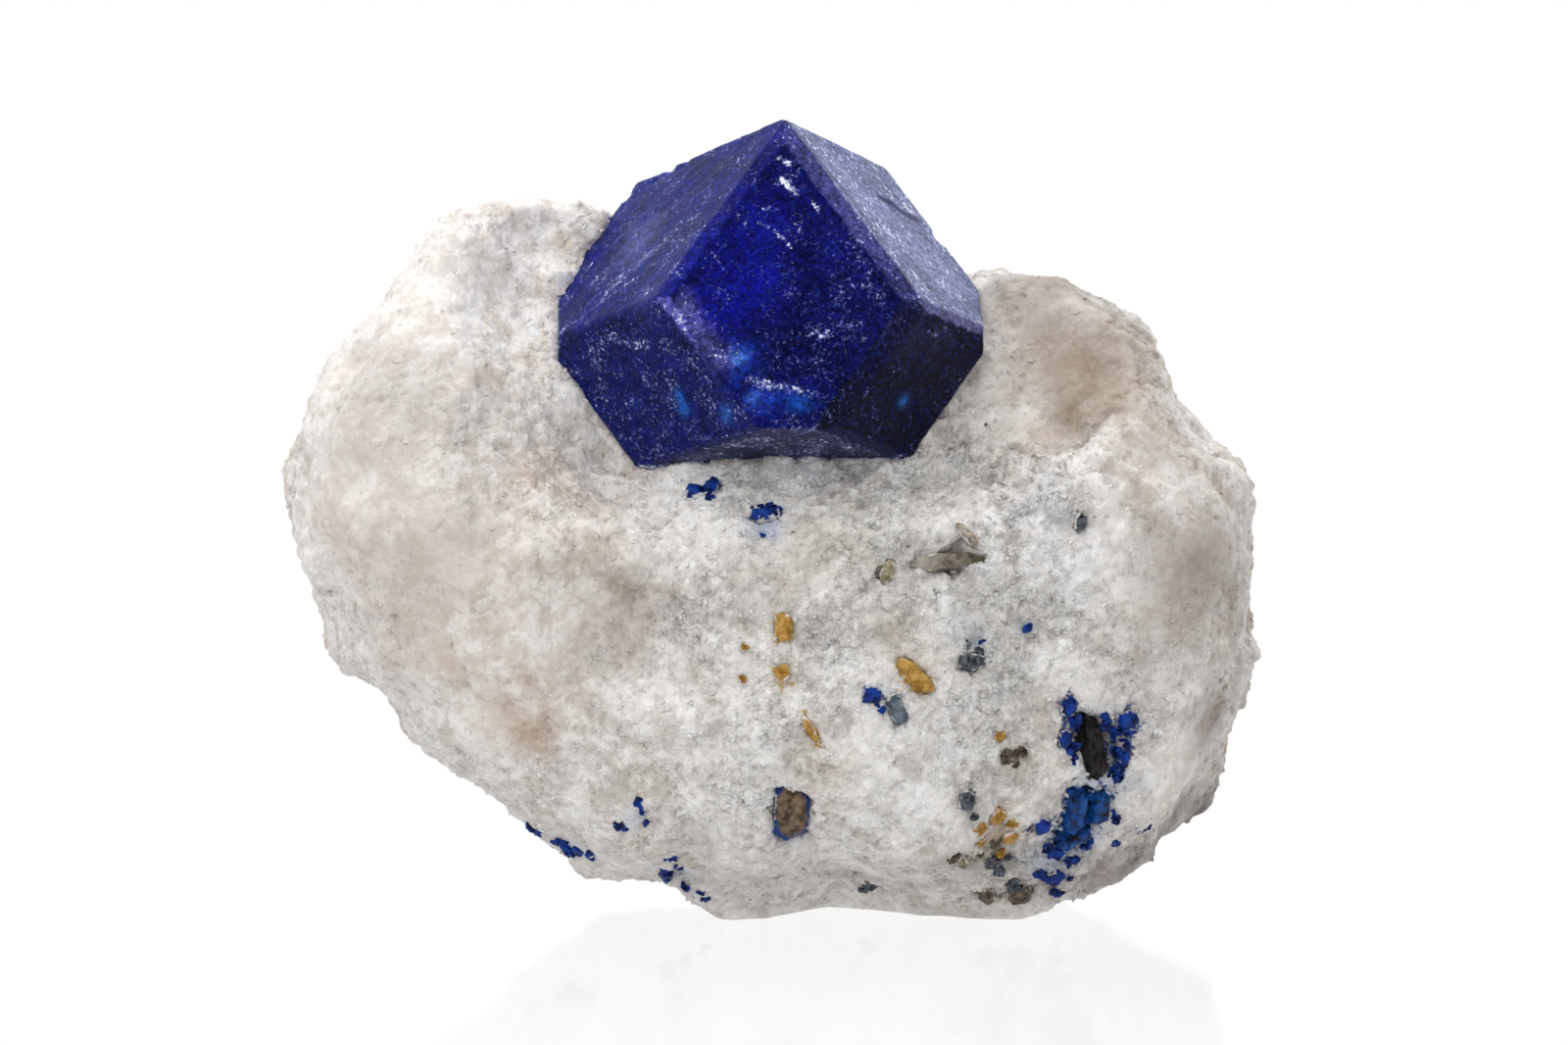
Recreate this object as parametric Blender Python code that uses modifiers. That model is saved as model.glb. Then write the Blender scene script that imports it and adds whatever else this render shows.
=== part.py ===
"""A lazurite crystal in its white marble, with the small crystals that the marble holds.

The sizes at the top are in millimetres, and the meshes are in metres. X runs to the right and
Z up, and the specimen's face looks along -Y. The origin is on the flat underside.
"""

import math
import random

import bmesh
import bpy
from mathutils import Euler, Vector, noise
from mathutils.bvhtree import BVHTree

MM = 0.001
COLLECTION_NAME = "lazurite_specimen"
POCKET_GAP = 0.3  # between a crystal and the marble round it

# The large crystal: a rhombic dodecahedron whose faces lie at unlike distances from its middle.
# Its own axes run from the middle to the top corner, to the front corner and to the right corner.
CRYSTAL_CENTRE = (-1.3, -4.0, 42.3)
CRYSTAL_TURN = (-90.1, -64.6, -87.9)
CRYSTAL_BLANK = 60.0
CRYSTAL_FACES = {
    "front": ((1, 1, 0), 11.3),
    "upper_left": ((1, 0, -1), 10.0),
    "upper_right": ((1, 0, 1), 11.6),
    "lower_left": ((0, 1, -1), 11.9),
    "lower_right": ((0, 1, 1), 13.9),
    "under": ((-1, 1, 0), 11.2),
    "roof": ((1, -1, 0), 11.2),
    "left": ((-1, 0, -1), 12.0),
    "right": ((-1, 0, 1), 11.0),
    "back_left": ((0, -1, -1), 13.8),
    "back_right": ((0, -1, 1), 11.5),
    "back": ((-1, -1, 0), 11.4),
}
# Each narrow facet that bevels an edge: its two faces, its depth under the edge at the edge's
# middle, and how much deeper it gets for each millimetre along the edge.
EDGE_FACETS = [
    ("front", "upper_left", 0.30, 0.0),
    ("front", "upper_right", 0.42, 0.0),
    ("front", "lower_left", 0.14, -0.065),
    ("front", "lower_right", 0.45, 0.0),
    ("front", "under", 0.05, 0.0),
    ("upper_left", "lower_left", 0.10, 0.0),
    ("upper_right", "lower_right", 0.20, 0.0),
    ("lower_left", "under", 0.15, 0.0),
    ("lower_right", "under", 0.20, 0.0),
    ("upper_left", "roof", 0.10, 0.0),
    ("upper_right", "roof", 0.20, 0.0),
    ("upper_left", "left", 0.10, 0.0),
    ("lower_left", "left", 0.10, 0.0),
]
LEFT_CORNER_CUT = 14.5
RIGHT_CORNER_CUT = 15.0

# The marble's outline seen from the front, anticlockwise from its right side.
OUTLINE_CENTRE = (-1.4, 23.0)
OUTLINE = [
    (32.9, 22.6), (33.3, 30.3), (31.8, 32.8), (28.6, 35.4), (27.0, 38.4), (25.2, 41.6),
    (23.9, 42.6), (20.9, 44.4), (17.9, 45.0), (13.4, 44.6), (6.0, 43.0), (0.0, 43.0),
    (-6.0, 44.8), (-12.2, 49.4), (-16.2, 50.2), (-21.9, 50.0), (-24.9, 47.8), (-27.1, 44.5),
    (-30.3, 40.6), (-32.0, 39.0), (-34.5, 34.1), (-36.0, 31.8), (-35.4, 28.7), (-33.4, 22.9),
    (-31.8, 17.4), (-28.5, 15.7), (-27.8, 14.0), (-25.1, 11.2), (-21.1, 8.4), (-17.1, 4.6),
    (-11.4, 2.0), (-7.2, 1.5), (-3.0, -1.5), (5.0, -1.6), (12.0, -1.6), (18.0, -0.6),
    (20.5, 1.0), (24.4, 2.6), (27.1, 4.4), (30.4, 6.6), (31.8, 9.3), (31.7, 12.8), (33.2, 16.8),
]
FRONT_DEPTH = 18.0
BACK_DEPTH = 18.0
PILLOW_POWER = 2.6
MARBLE_SUBDIVISIONS = 6
MARBLE_VOXEL = 0.8
MARBLE_FACES = 4500
SHORTEST_EDGE = 0.03  # shorter edges that the sockets leave are merged

# The stone stands back round the large crystal, down to a slanting shelf that its foot is in.
SHELF_DEPTH = -3.6  # at the height of the crystal's middle
SHELF_SLANT = 0.7
SHELF_REACH = (16.0, 11.0)
SHELF_FADE = 0.8

# Broad swells and hollows: the middle, the reach each way, and how far the stone is pushed.
SWELLS = [
    ((-25.0, -14.0, 31.0), (13.0, 12.0, 18.0), (-0.5, -3.0, 0.0)),
    ((-11.0, -16.0, 22.0), (8.0, 9.0, 8.0), (0.0, 2.4, 0.0)),
    ((4.0, -18.0, 13.0), (18.0, 14.0, 12.0), (0.0, -2.2, 0.0)),
    ((4.0, -18.0, 0.0), (28.0, 12.0, 7.0), (0.0, 4.0, 1.5)),
    ((4.6, -9.5, -0.5), (8.5, 13.0, 4.5), (0.0, 0.0, 3.4)),
    ((-10.0, -10.0, 1.0), (6.0, 8.0, 4.0), (0.0, 1.0, 1.2)),
    ((18.0, -12.0, 39.0), (9.0, 12.0, 8.0), (0.0, 2.5, 0.0)),
    ((26.0, -12.0, 25.0), (11.0, 12.0, 13.0), (0.5, -1.6, 0.0)),
]
# The same for the shelf under the large crystal.
SHELF_SWELLS = [
    ((-12.0, -10.0, 32.5), (7.0, 8.0, 6.0), (0.0, 4.0, 0.0)),
    ((1.0, -12.0, 29.0), (12.0, 9.0, 5.5), (0.0, -2.6, 0.8)),
]

# Ledges of the face: each one's edge line in (X, Z), how far the stone on the right of the line
# stands out, over what width it steps out, and how far from the line that rise has died away.
LEDGES = [
    ([(24.7, 38.4), (23.8, 37.2), (23.2, 36.5), (21.8, 36.3), (21.2, 35.1), (20.6, 34.2),
      (19.2, 34.0), (18.1, 33.3), (17.1, 33.2), (15.8, 33.8)], -1.7, 1.2, 9.0),
    ([(-19.3, 25.2), (-16.9, 22.9), (-15.6, 20.2), (-13.9, 18.5), (-10.0, 17.5), (-6.6, 16.9)],
     0.9, 2.4, 7.0),
    ([(-24.4, 17.7), (-21.7, 18.0), (-18.3, 17.0), (-16.5, 15.3), (-16.6, 12.6)], -1.0, 0.7, 5.0),
    ([(-25.6, 41.3), (-21.0, 41.0), (-16.5, 40.8)], 0.8, 0.7, 6.0),
]

# Broken faces: each plane's outward direction and its distance from the stone's middle.
BREAKS = [
    ((0.10, 1.0, 0.05), 16.0),
    ((-0.50, 0.80, 0.45), 22.5),
    ((0.60, 0.75, 0.30), 24.0),
    ((0.15, 0.65, -0.75), 21.5),
    ((0.80, -0.33, -0.50), 32.9),
]

LUMP_SIZE = 9.0
LUMP_HEIGHT = 0.7
CHIP_SIZE = 6.5  # across one flat chip of the broken surface
CHIP_TILT = 0.3
TILT_SHIFTS = ((0.3, 0.0, 9.1), (31.0, 5.2, 0.7), (4.9, 47.0, 2.6))
KNOB_SIZE = 3.0
KNOB_HEIGHT = 0.3
KNOB_SHIFT = (7.0, 3.0, 5.0)

# The small crystals in the marble's face: name, mineral, form, and for each lump that is joined
# in it the place (X, Z), the width, the height and the lean to the left of upright in degrees.
SMALL_CRYSTALS = [
    ("blue_cluster", "lazurite", "prism", [(20.1, 8.6, 2.0, 3.9, 0), (21.8, 8.9, 1.8, 3.1, 6),
                                           (20.0, 6.7, 1.4, 2.9, -65)]),
    ("blue_grain_1", "lazurite", "grain", [(-6.0, 30.8, 1.3, 1.2, 0), (-5.0, 31.2, 1.0, 1.7, -20)]),
    ("blue_grain_2", "lazurite", "grain", [(-1.4, 29.6, 2.2, 0.9, 0)]),
    ("blue_grain_3", "lazurite", "grain", [(5.9, 17.7, 1.2, 1.1, 0)]),
    ("blue_grain_4", "lazurite", "grain", [(23.6, 15.1, 1.7, 1.4, 10)]),
    ("blue_grain_5", "lazurite", "grain", [(19.4, 16.5, 1.1, 1.5, -15)]),
    ("blue_grain_6", "lazurite", "grain", [(19.2, 14.2, 0.9, 1.3, 0)]),
    ("blue_grain_7", "lazurite", "prism", [(23.4, 12.9, 0.8, 2.2, -5)]),
    ("blue_grain_8", "lazurite", "grain", [(17.7, 7.9, 1.1, 1.4, 20)]),
    ("blue_grain_9", "lazurite", "grain", [(18.9, 3.6, 1.6, 1.5, 0)]),
    ("dark_crystal", "pyroxene", "prism", [(21.3, 13.6, 2.1, 4.8, 12)]),
    ("dark_grain_1", "pyroxene", "grain", [(20.1, 29.1, 0.8, 1.2, -10)]),
    ("dark_grain_2", "pyroxene", "grain", [(12.7, 19.7, 1.9, 1.2, 0)]),
    ("dark_grain_3", "pyroxene", "grain", [(12.5, 10.2, 1.1, 1.5, 0)]),
    ("amber_grain_1", "amber_mica", "grain", [(0.0, 22.1, 1.3, 2.0, 0)]),
    ("amber_grain_2", "amber_mica", "grain", [(-0.1, 19.1, 1.0, 1.1, 20)]),
    ("amber_grain_3", "amber_mica", "spindle", [(1.8, 15.2, 0.8, 2.6, 28)]),
    ("amber_grain_4", "amber_mica", "grain", [(14.6, 8.8, 1.1, 1.1, 0)]),
    ("amber_grain_5", "amber_mica", "grain", [(15.5, 7.1, 1.2, 1.1, 0)]),
    ("amber_prism", "amber_mica", "prism", [(8.9, 18.9, 1.6, 3.3, 42)]),
    ("grey_prism", "diopside", "spindle", [(11.0, 26.5, 1.8, 5.7, 92)]),
    ("grey_grain", "diopside", "grain", [(7.4, 17.1, 1.0, 1.2, 0), (7.8, 16.3, 1.0, 1.4, 20)]),
    ("olive_grain_1", "diopside", "spindle", [(7.0, 25.9, 0.9, 1.9, -20)]),
    ("olive_grain_2", "diopside", "spindle", [(12.1, 5.5, 0.9, 2.3, 78)]),
    ("brown_tablet", "brown_mica", "tablet", [(0.5, 8.8, 2.4, 4.4, -4)]),
    ("brown_needle", "brown_mica", "prism", [(12.4, 28.3, 0.7, 2.2, 40)]),
    ("brown_grain_1", "brown_mica", "prism", [(14.1, 2.1, 1.2, 1.5, 0)]),
    ("brown_grain_2", "brown_mica", "prism", [(16.4, 2.1, 1.7, 1.5, 0)]),
]

# The forms are cut from a cube that reaches from -1 to 1. For each form with a long axis: how many
# side faces it has, how far out they are, how steep its end faces are, and where those meet.
LONG_FORMS = {
    "prism": (6, 0.88, 0.55, 1.12),
    "spindle": (6, 0.88, 1.5, 1.25),
    "tablet": (4, 1.15, 0.8, 1.3),
}
END_FACES = 4
GRAIN_FACES = 9
GRAIN_FACE_DISTANCES = (0.85, 1.05)
GOLDEN_ANGLE = math.pi * (3.0 - math.sqrt(5.0))

CRYSTAL_STANDS_OUT = 0.35
CRYSTAL_DEPTH_SHARE = 0.9  # of its mean width and height
POCKET_MOUTH = 1.5  # how far the outer part of a pocket's cutter is drawn out
POCKET_MOUTH_LEVEL = 0.3  # of the crystal's half depth, where that outer part starts

# Each mineral's colour, roughness and metallic value.
MINERALS = {
    "lazurite": ((0.01, 0.02, 0.16), 0.4, 0.0),
    "pyroxene": ((0.015, 0.016, 0.02), 0.35, 0.0),
    "amber_mica": ((0.42, 0.21, 0.05), 0.35, 0.0),
    "brown_mica": ((0.11, 0.07, 0.045), 0.4, 0.0),
    "diopside": ((0.2, 0.19, 0.15), 0.4, 0.0),
    "marble": ((0.62, 0.57, 0.52), 0.6, 0.0),
}


def unit(direction):
    """The direction at length one."""
    return Vector(direction).normalized()


def metres(sizes):
    """A place or size given in millimetres, in metres."""
    return Vector(sizes) * MM


def clear_scene():
    for scene_object in list(bpy.data.objects):
        bpy.data.objects.remove(scene_object, do_unlink=True)


def add_collection(name):
    collection = bpy.data.collections.new(name)
    bpy.context.scene.collection.children.link(collection)
    return collection


def add_object(name, shape, collection, material=None):
    """Turn a bmesh into an object, with its faces pointing out."""
    bmesh.ops.recalc_face_normals(shape, faces=shape.faces)
    if shape.calc_volume(signed=True) < 0.0:
        bmesh.ops.reverse_faces(shape, faces=shape.faces)
    mesh = bpy.data.meshes.new(name)
    shape.to_mesh(mesh)
    shape.free()
    made = bpy.data.objects.new(name, mesh)
    collection.objects.link(made)
    if material:
        mesh.materials.append(material)
    return made


def add_material(name, colour, roughness, metallic=0.0):
    material = bpy.data.materials.new(name)
    material.use_nodes = True
    shader = material.node_tree.nodes["Principled BSDF"]
    shader.inputs["Base Color"].default_value = (*colour, 1.0)
    shader.inputs["Roughness"].default_value = roughness
    shader.inputs["Metallic"].default_value = metallic
    material.diffuse_color = (*colour, 1.0)
    return material


def cut_by_planes(shape, planes):
    """Cut a convex shape by (normal, distance) planes round its middle and cap each cut."""
    for normal, distance in planes:
        everything = shape.verts[:] + shape.edges[:] + shape.faces[:]
        cut = bmesh.ops.bisect_plane(
            shape, geom=everything, dist=1e-7, plane_co=normal * distance, plane_no=normal,
            clear_outer=True)
        rim = [piece for piece in cut["geom_cut"] if isinstance(piece, bmesh.types.BMEdge)]
        if rim:
            bmesh.ops.holes_fill(shape, edges=rim)


def edge_facet_plane(first, second, depth, taper):
    """The plane of a facet that bevels the edge between two of the crystal's faces."""
    first_normal, first_distance = unit(CRYSTAL_FACES[first][0]), CRYSTAL_FACES[first][1]
    second_normal, second_distance = unit(CRYSTAL_FACES[second][0]), CRYSTAL_FACES[second][1]
    outward = (first_normal + second_normal).normalized()
    along = first_normal.cross(second_normal).normalized()
    edge_distance = (first_distance + second_distance) / (2.0 * outward.dot(first_normal))
    normal = outward + along * taper
    sideways = (first_normal - second_normal).normalized()
    offset = (first_distance - second_distance) / (2.0 * sideways.dot(first_normal))
    edge_middle = outward * edge_distance + sideways * offset
    distance = (normal.dot(edge_middle) - depth) / normal.length
    return normal.normalized(), distance


def crystal_planes():
    """Every face of the large crystal as a normal and a distance, in its own axes."""
    planes = [(unit(index), distance) for index, distance in CRYSTAL_FACES.values()]
    planes += [edge_facet_plane(*facet) for facet in EDGE_FACETS]
    planes.append((Vector((0.0, 0.0, -1.0)), LEFT_CORNER_CUT))
    planes.append((Vector((0.0, 0.0, 1.0)), RIGHT_CORNER_CUT))
    return planes


def crystal_shape(growth=0.0):
    """The large crystal where it stands, each face moved out by growth."""
    shape = bmesh.new()
    bmesh.ops.create_cube(shape, size=CRYSTAL_BLANK * MM)
    cut_by_planes(shape, [(normal, (distance + growth) * MM)
                          for normal, distance in crystal_planes()])
    turn = Euler([math.radians(angle) for angle in CRYSTAL_TURN]).to_matrix()
    bmesh.ops.rotate(shape, verts=shape.verts, matrix=turn)
    bmesh.ops.translate(shape, verts=shape.verts, vec=metres(CRYSTAL_CENTRE))
    return shape


def outline_radius(angle):
    """How far the marble's outline lies from its centre, smooth between the outline's points."""
    polar = []
    for x, z in OUTLINE:
        dx, dz = x - OUTLINE_CENTRE[0], z - OUTLINE_CENTRE[1]
        polar.append((math.atan2(dz, dx) % math.tau, math.hypot(dx, dz)))
    polar.sort()
    count = len(polar)
    angle %= math.tau
    after = next((i for i, point in enumerate(polar) if point[0] > angle), 0)
    radii = [polar[(after + step) % count][1] for step in (-2, -1, 0, 1)]
    start, end = polar[after - 1][0], polar[after][0]
    share = ((angle - start) % math.tau) / ((end - start) % math.tau)
    slope_start, slope_end = (radii[2] - radii[0]) / 2.0, (radii[3] - radii[1]) / 2.0
    s2, s3 = share * share, share * share * share
    return ((2 * s3 - 3 * s2 + 1) * radii[1] + (s3 - 2 * s2 + share) * slope_start
            + (3 * s2 - 2 * s3) * radii[2] + (s3 - s2) * slope_end)


def pillow_point(direction):
    """Where a direction from the middle meets a pillow on the marble's outline, in millimetres."""
    flat = math.hypot(direction.x, direction.z)
    deep = abs(direction.y)
    reach = (flat ** PILLOW_POWER + deep ** PILLOW_POWER) ** (-1.0 / PILLOW_POWER)
    angle = math.atan2(direction.z, direction.x)
    radius = outline_radius(angle) * flat * reach
    depth = FRONT_DEPTH if direction.y < 0.0 else BACK_DEPTH
    return Vector((OUTLINE_CENTRE[0] + radius * math.cos(angle),
                   depth * reach * direction.y,
                   OUTLINE_CENTRE[1] + radius * math.sin(angle)))


def push_swells(place, swells):
    """Move a point by every swell and hollow that reaches it."""
    moved = place.copy()
    for middle, reach, push in swells:
        away = sum(((place[i] - middle[i]) / reach[i]) ** 2 for i in range(3))
        if away < 1.0:
            moved += Vector(push) * (1.0 - away) ** 2
    return moved


def smooth_step(share):
    share = min(max(share, 0.0), 1.0)
    return share * share * (3.0 - 2.0 * share)


def stand_back(place):
    """Bring the face round the large crystal back to the shelf that the crystal sits in."""
    across = (place.x - CRYSTAL_CENTRE[0]) / SHELF_REACH[0]
    upward = (place.z - CRYSTAL_CENTRE[2]) / SHELF_REACH[1]
    share = 1.0 - smooth_step((math.hypot(across, upward) - 1.0) / SHELF_FADE)
    shelf = SHELF_DEPTH + SHELF_SLANT * (place.z - CRYSTAL_CENTRE[2])
    return Vector((place.x, place.y + max(shelf - place.y, 0.0) * share, place.z))


def from_line(x, z, line):
    """How far a point is from a line of points, with the side it is on as the sign."""
    nearest = None
    for (x0, z0), (x1, z1) in zip(line, line[1:]):
        run_x, run_z = x1 - x0, z1 - z0
        share = ((x - x0) * run_x + (z - z0) * run_z) / (run_x ** 2 + run_z ** 2)
        share = min(max(share, 0.0), 1.0)
        off_x, off_z = x - x0 - run_x * share, z - z0 - run_z * share
        distance = math.hypot(off_x, off_z)
        if nearest is None or distance < abs(nearest):
            nearest = math.copysign(distance, off_x * run_z - off_z * run_x)
    return nearest


def step_ledges(place):
    """Step the face in or out along its ledges."""
    if place.y > 0.0:
        return place
    rise = 0.0
    for line, height, width, reach in LEDGES:
        distance = from_line(place.x, place.z, line)
        fade = 1.0 - smooth_step(abs(distance) / reach)
        rise += height * fade * (smooth_step(distance / width + 0.5) - 0.5)
    return Vector((place.x, place.y - rise, place.z))


def flatten_breaks(place):
    """Bring a point that stands out past a broken face back to it."""
    middle = Vector((OUTLINE_CENTRE[0], 0.0, OUTLINE_CENTRE[1]))
    for direction, distance in BREAKS:
        normal = unit(direction)
        excess = (place - middle).dot(normal) - distance
        if excess > 0.0:
            place = place - normal * excess * 0.9
    return place


def roughen(place, normal):
    """Raise a point by the lumps, flat chips and knobs of a broken surface."""
    lump = noise.noise(place / LUMP_SIZE) * LUMP_HEIGHT
    chip_middle = noise.voronoi(place / CHIP_SIZE)[1][0] * CHIP_SIZE
    tilt = Vector([noise.noise(chip_middle + Vector(shift)) for shift in TILT_SHIFTS])
    chip = (place - chip_middle).dot(tilt) * CHIP_TILT
    knob = noise.noise(place / KNOB_SIZE + Vector(KNOB_SHIFT)) * KNOB_HEIGHT
    return place + normal * (lump + chip + knob)


def evaluated_shape(made):
    """The shape of an object once its modifiers have run."""
    depsgraph = bpy.context.evaluated_depsgraph_get()
    mesh = bpy.data.meshes.new_from_object(made.evaluated_get(depsgraph))
    shape = bmesh.new()
    shape.from_mesh(mesh)
    bpy.data.meshes.remove(mesh)
    return shape


def marble_shape(collection):
    """The whole marble before its sockets are cut, with its flat underside."""
    shape = bmesh.new()
    bmesh.ops.create_icosphere(shape, subdivisions=MARBLE_SUBDIVISIONS, radius=1.0)
    for vertex in shape.verts:
        place = push_swells(pillow_point(vertex.co.normalized()), SWELLS)
        place = push_swells(stand_back(place), SHELF_SWELLS)
        vertex.co = flatten_breaks(step_ledges(place))
    shape.normal_update()
    rough = [roughen(vertex.co, vertex.normal) for vertex in shape.verts]
    for vertex, place in zip(shape.verts, rough):
        vertex.co = place * MM

    boulder = add_object("rough_marble", shape, collection)
    even = boulder.modifiers.new("even faces", "REMESH")
    even.mode = "VOXEL"
    even.voxel_size = MARBLE_VOXEL * MM
    whole = evaluated_shape(boulder)
    thin = boulder.modifiers.new("fewer faces", "DECIMATE")
    thin.ratio = MARBLE_FACES / sum(len(face.verts) - 2 for face in whole.faces)
    whole.free()
    shape = evaluated_shape(boulder)
    bpy.data.objects.remove(boulder, do_unlink=True)

    everything = shape.verts[:] + shape.edges[:] + shape.faces[:]
    cut = bmesh.ops.bisect_plane(shape, geom=everything, dist=1e-6, plane_co=(0.0, 0.0, 0.0),
                                 plane_no=(0.0, 0.0, -1.0), clear_outer=True)
    rim = [piece for piece in cut["geom_cut"] if isinstance(piece, bmesh.types.BMEdge)]
    bmesh.ops.holes_fill(shape, edges=rim)
    return shape


def grain_planes(chance):
    """The planes that cut a cube from -1 to 1 to an uneven grain."""
    planes = []
    for number in range(GRAIN_FACES):
        height = 1.0 - (2.0 * number + 1.0) / GRAIN_FACES
        angle = number * GOLDEN_ANGLE + chance.uniform(-0.4, 0.4)
        flat = math.sqrt(1.0 - height * height)
        normal = Vector((math.cos(angle) * flat, math.sin(angle) * flat, height))
        planes.append((normal, chance.uniform(*GRAIN_FACE_DISTANCES)))
    return planes


def long_form_planes(form, chance):
    """The planes that cut a cube from -1 to 1 to a crystal with Z as its long axis."""
    sides, side_distance, slope, end_distance = LONG_FORMS[form]
    planes = []
    for side in range(sides):
        angle = math.tau / sides * (side + 0.5)
        planes.append((Vector((math.cos(angle), math.sin(angle), 0.0)), side_distance))
    for side in range(END_FACES):
        angle = math.tau / END_FACES * (side + chance.uniform(0.2, 0.8))
        for up in (-1.0, 1.0):
            lean = slope * chance.uniform(0.6, 1.2)
            normal = Vector((math.cos(angle) * lean, math.sin(angle) * lean, up))
            planes.append((normal.normalized(), end_distance / normal.length))
    return planes


def setting(tree, lump):
    """The middle and the outward direction of the marble's face where a lump is set."""
    x, z, width, height = lump[:4]
    reach = (width + height) / 4.0
    places = [(x - reach, z), (x + reach, z), (x, z - reach), (x, z + reach)]
    left, right, low, high = [tree.ray_cast(metres((px, -100.0, pz)), Vector((0.0, 1.0, 0.0)))[0]
                              for px, pz in places]
    outward = (right - left).cross(high - low).normalized()
    return (left + right + low + high) / 4.0, outward


def lump_shape(form, lump, middle, outward, chance, growth=0.0):
    """One lump of a small crystal, half sunk in the face; or, when grown, the hole that it fills."""
    x, z, width, height, lean = lump
    depth = (width + height) / 2.0 * CRYSTAL_DEPTH_SHARE
    shape = bmesh.new()
    bmesh.ops.create_cube(shape, size=2.0)
    cut_by_planes(shape, grain_planes(chance) if form == "grain" else long_form_planes(form, chance))

    sideways = Vector((0.0, 0.0, 1.0)).cross(outward).normalized()
    upward = outward.cross(sideways)
    turn = math.radians(lean)
    long_axis = upward * math.cos(turn) - sideways * math.sin(turn)
    short_axis = sideways * math.cos(turn) + upward * math.sin(turn)
    off_x, off_z = x * MM - middle.x, z * MM - middle.z
    off_y = -(outward.x * off_x + outward.z * off_z) / outward.y
    sunk = outward * (CRYSTAL_STANDS_OUT - depth / 2.0) * MM
    centre = middle + Vector((off_x, off_y, off_z)) + sunk
    for vertex in shape.verts:
        side, out, along = vertex.co.x, -vertex.co.y, vertex.co.z
        reach = out * (depth / 2.0 + growth)
        if growth and out > POCKET_MOUTH_LEVEL:
            reach += POCKET_MOUTH
        vertex.co = centre + MM * (short_axis * side * (width / 2.0 + growth) + outward * reach
                                   + long_axis * along * (height / 2.0 + growth))
    if growth:
        bmesh.ops.delete(shape, geom=shape.edges[:] + shape.faces[:], context="EDGES_FACES")
        bmesh.ops.convex_hull(shape, input=shape.verts[:])
        bmesh.ops.dissolve_limit(shape, angle_limit=math.radians(1.0), verts=shape.verts[:],
                                 edges=shape.edges[:])
    return shape


def as_cutter(cutter):
    """Show an object only as wires, since it cuts another one."""
    cutter.display_type = "WIRE"
    cutter.hide_render = True


def joined(name, shapes, collection, material=None):
    """One object from shapes that may overlap."""
    first = add_object(name, shapes[0], collection, material)
    for number, shape in enumerate(shapes[1:], start=1):
        other = add_object(f"{name}_lump_{number}", shape, collection)
        join = first.modifiers.new("join", "BOOLEAN")
        join.operation = "UNION"
        join.solver = "EXACT"
        join.object = other
        united = evaluated_shape(first)
        bpy.data.objects.remove(other, do_unlink=True)
        first.modifiers.remove(join)
        united.to_mesh(first.data)
        united.free()
    return first


def add_small_crystals(tree, parts, cutters, materials):
    """Set every small crystal in the face, and make the cutter of its pocket."""
    for number, (name, mineral, form, lumps) in enumerate(SMALL_CRYSTALS):
        middle, outward = setting(tree, lumps[0])
        solids = []
        pockets = []
        for step, lump in enumerate(lumps):
            seed = 10 * number + step
            solids.append(lump_shape(form, lump, middle, outward, random.Random(seed)))
            pockets.append(lump_shape(form, lump, middle, outward, random.Random(seed),
                                      POCKET_GAP))
        joined(name, solids, parts, materials[mineral])
        as_cutter(joined(f"{name}_pocket", pockets, cutters))


def build():
    clear_scene()
    parts = add_collection(COLLECTION_NAME)
    cutters = add_collection("cutters")
    materials = {name: add_material(name, *finish) for name, finish in MINERALS.items()}

    marble = add_object("marble_matrix", marble_shape(cutters), parts, materials["marble"])
    face = BVHTree.FromObject(marble, bpy.context.evaluated_depsgraph_get())
    add_object("lazurite_crystal", crystal_shape(), parts, materials["lazurite"])
    as_cutter(add_object("crystal_socket", crystal_shape(POCKET_GAP), cutters))
    add_small_crystals(face, parts, cutters, materials)
    cut = marble.modifiers.new("sockets", "BOOLEAN")
    cut.operation = "DIFFERENCE"
    cut.operand_type = "COLLECTION"
    cut.collection = cutters
    cut.solver = "EXACT"
    merge = marble.modifiers.new("merge short edges", "WELD")
    merge.merge_threshold = SHORTEST_EDGE * MM


build()
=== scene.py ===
"""The looks of a lazurite crystal that stands in a loose piece of coarse white marble.

Lengths in the tables are millimetres, and meshes are in metres. Two whole numbers in a table are
a pixel of the 1600 by 1066 photograph, its column and its row. They stand for the place on the
surface that the line of sight through that pixel meets.
"""

import math
import random

import bmesh
import bpy
import numpy as np
from mathutils import Euler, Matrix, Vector, noise
from mathutils.bvhtree import BVHTree


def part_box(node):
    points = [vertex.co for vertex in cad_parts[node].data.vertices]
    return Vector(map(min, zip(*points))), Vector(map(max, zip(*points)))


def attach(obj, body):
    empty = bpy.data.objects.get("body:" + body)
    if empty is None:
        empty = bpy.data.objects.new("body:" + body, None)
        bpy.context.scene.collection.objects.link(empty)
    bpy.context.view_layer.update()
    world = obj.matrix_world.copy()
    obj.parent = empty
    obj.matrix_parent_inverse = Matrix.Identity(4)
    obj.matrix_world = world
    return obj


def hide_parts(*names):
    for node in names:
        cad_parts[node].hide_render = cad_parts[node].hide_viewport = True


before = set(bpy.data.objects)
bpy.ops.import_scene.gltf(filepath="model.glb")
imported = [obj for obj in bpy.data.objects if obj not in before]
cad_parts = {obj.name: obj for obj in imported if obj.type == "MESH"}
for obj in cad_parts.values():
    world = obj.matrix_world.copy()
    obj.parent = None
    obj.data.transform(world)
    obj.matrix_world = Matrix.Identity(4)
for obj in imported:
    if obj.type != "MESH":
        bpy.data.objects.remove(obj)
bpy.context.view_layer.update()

MM = 0.001
MERGE = 0.000001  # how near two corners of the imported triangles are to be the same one

# The camera stands where the photograph's did.
PIXEL = 0.07 * MM  # one pixel, in the upright plane through the aim
IMAGE_SIZE = (1600, 1066)
AIM = Vector((0.0, 0.0, 27.33 * MM))
CAMERA_DISTANCE = 311 * MM
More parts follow.
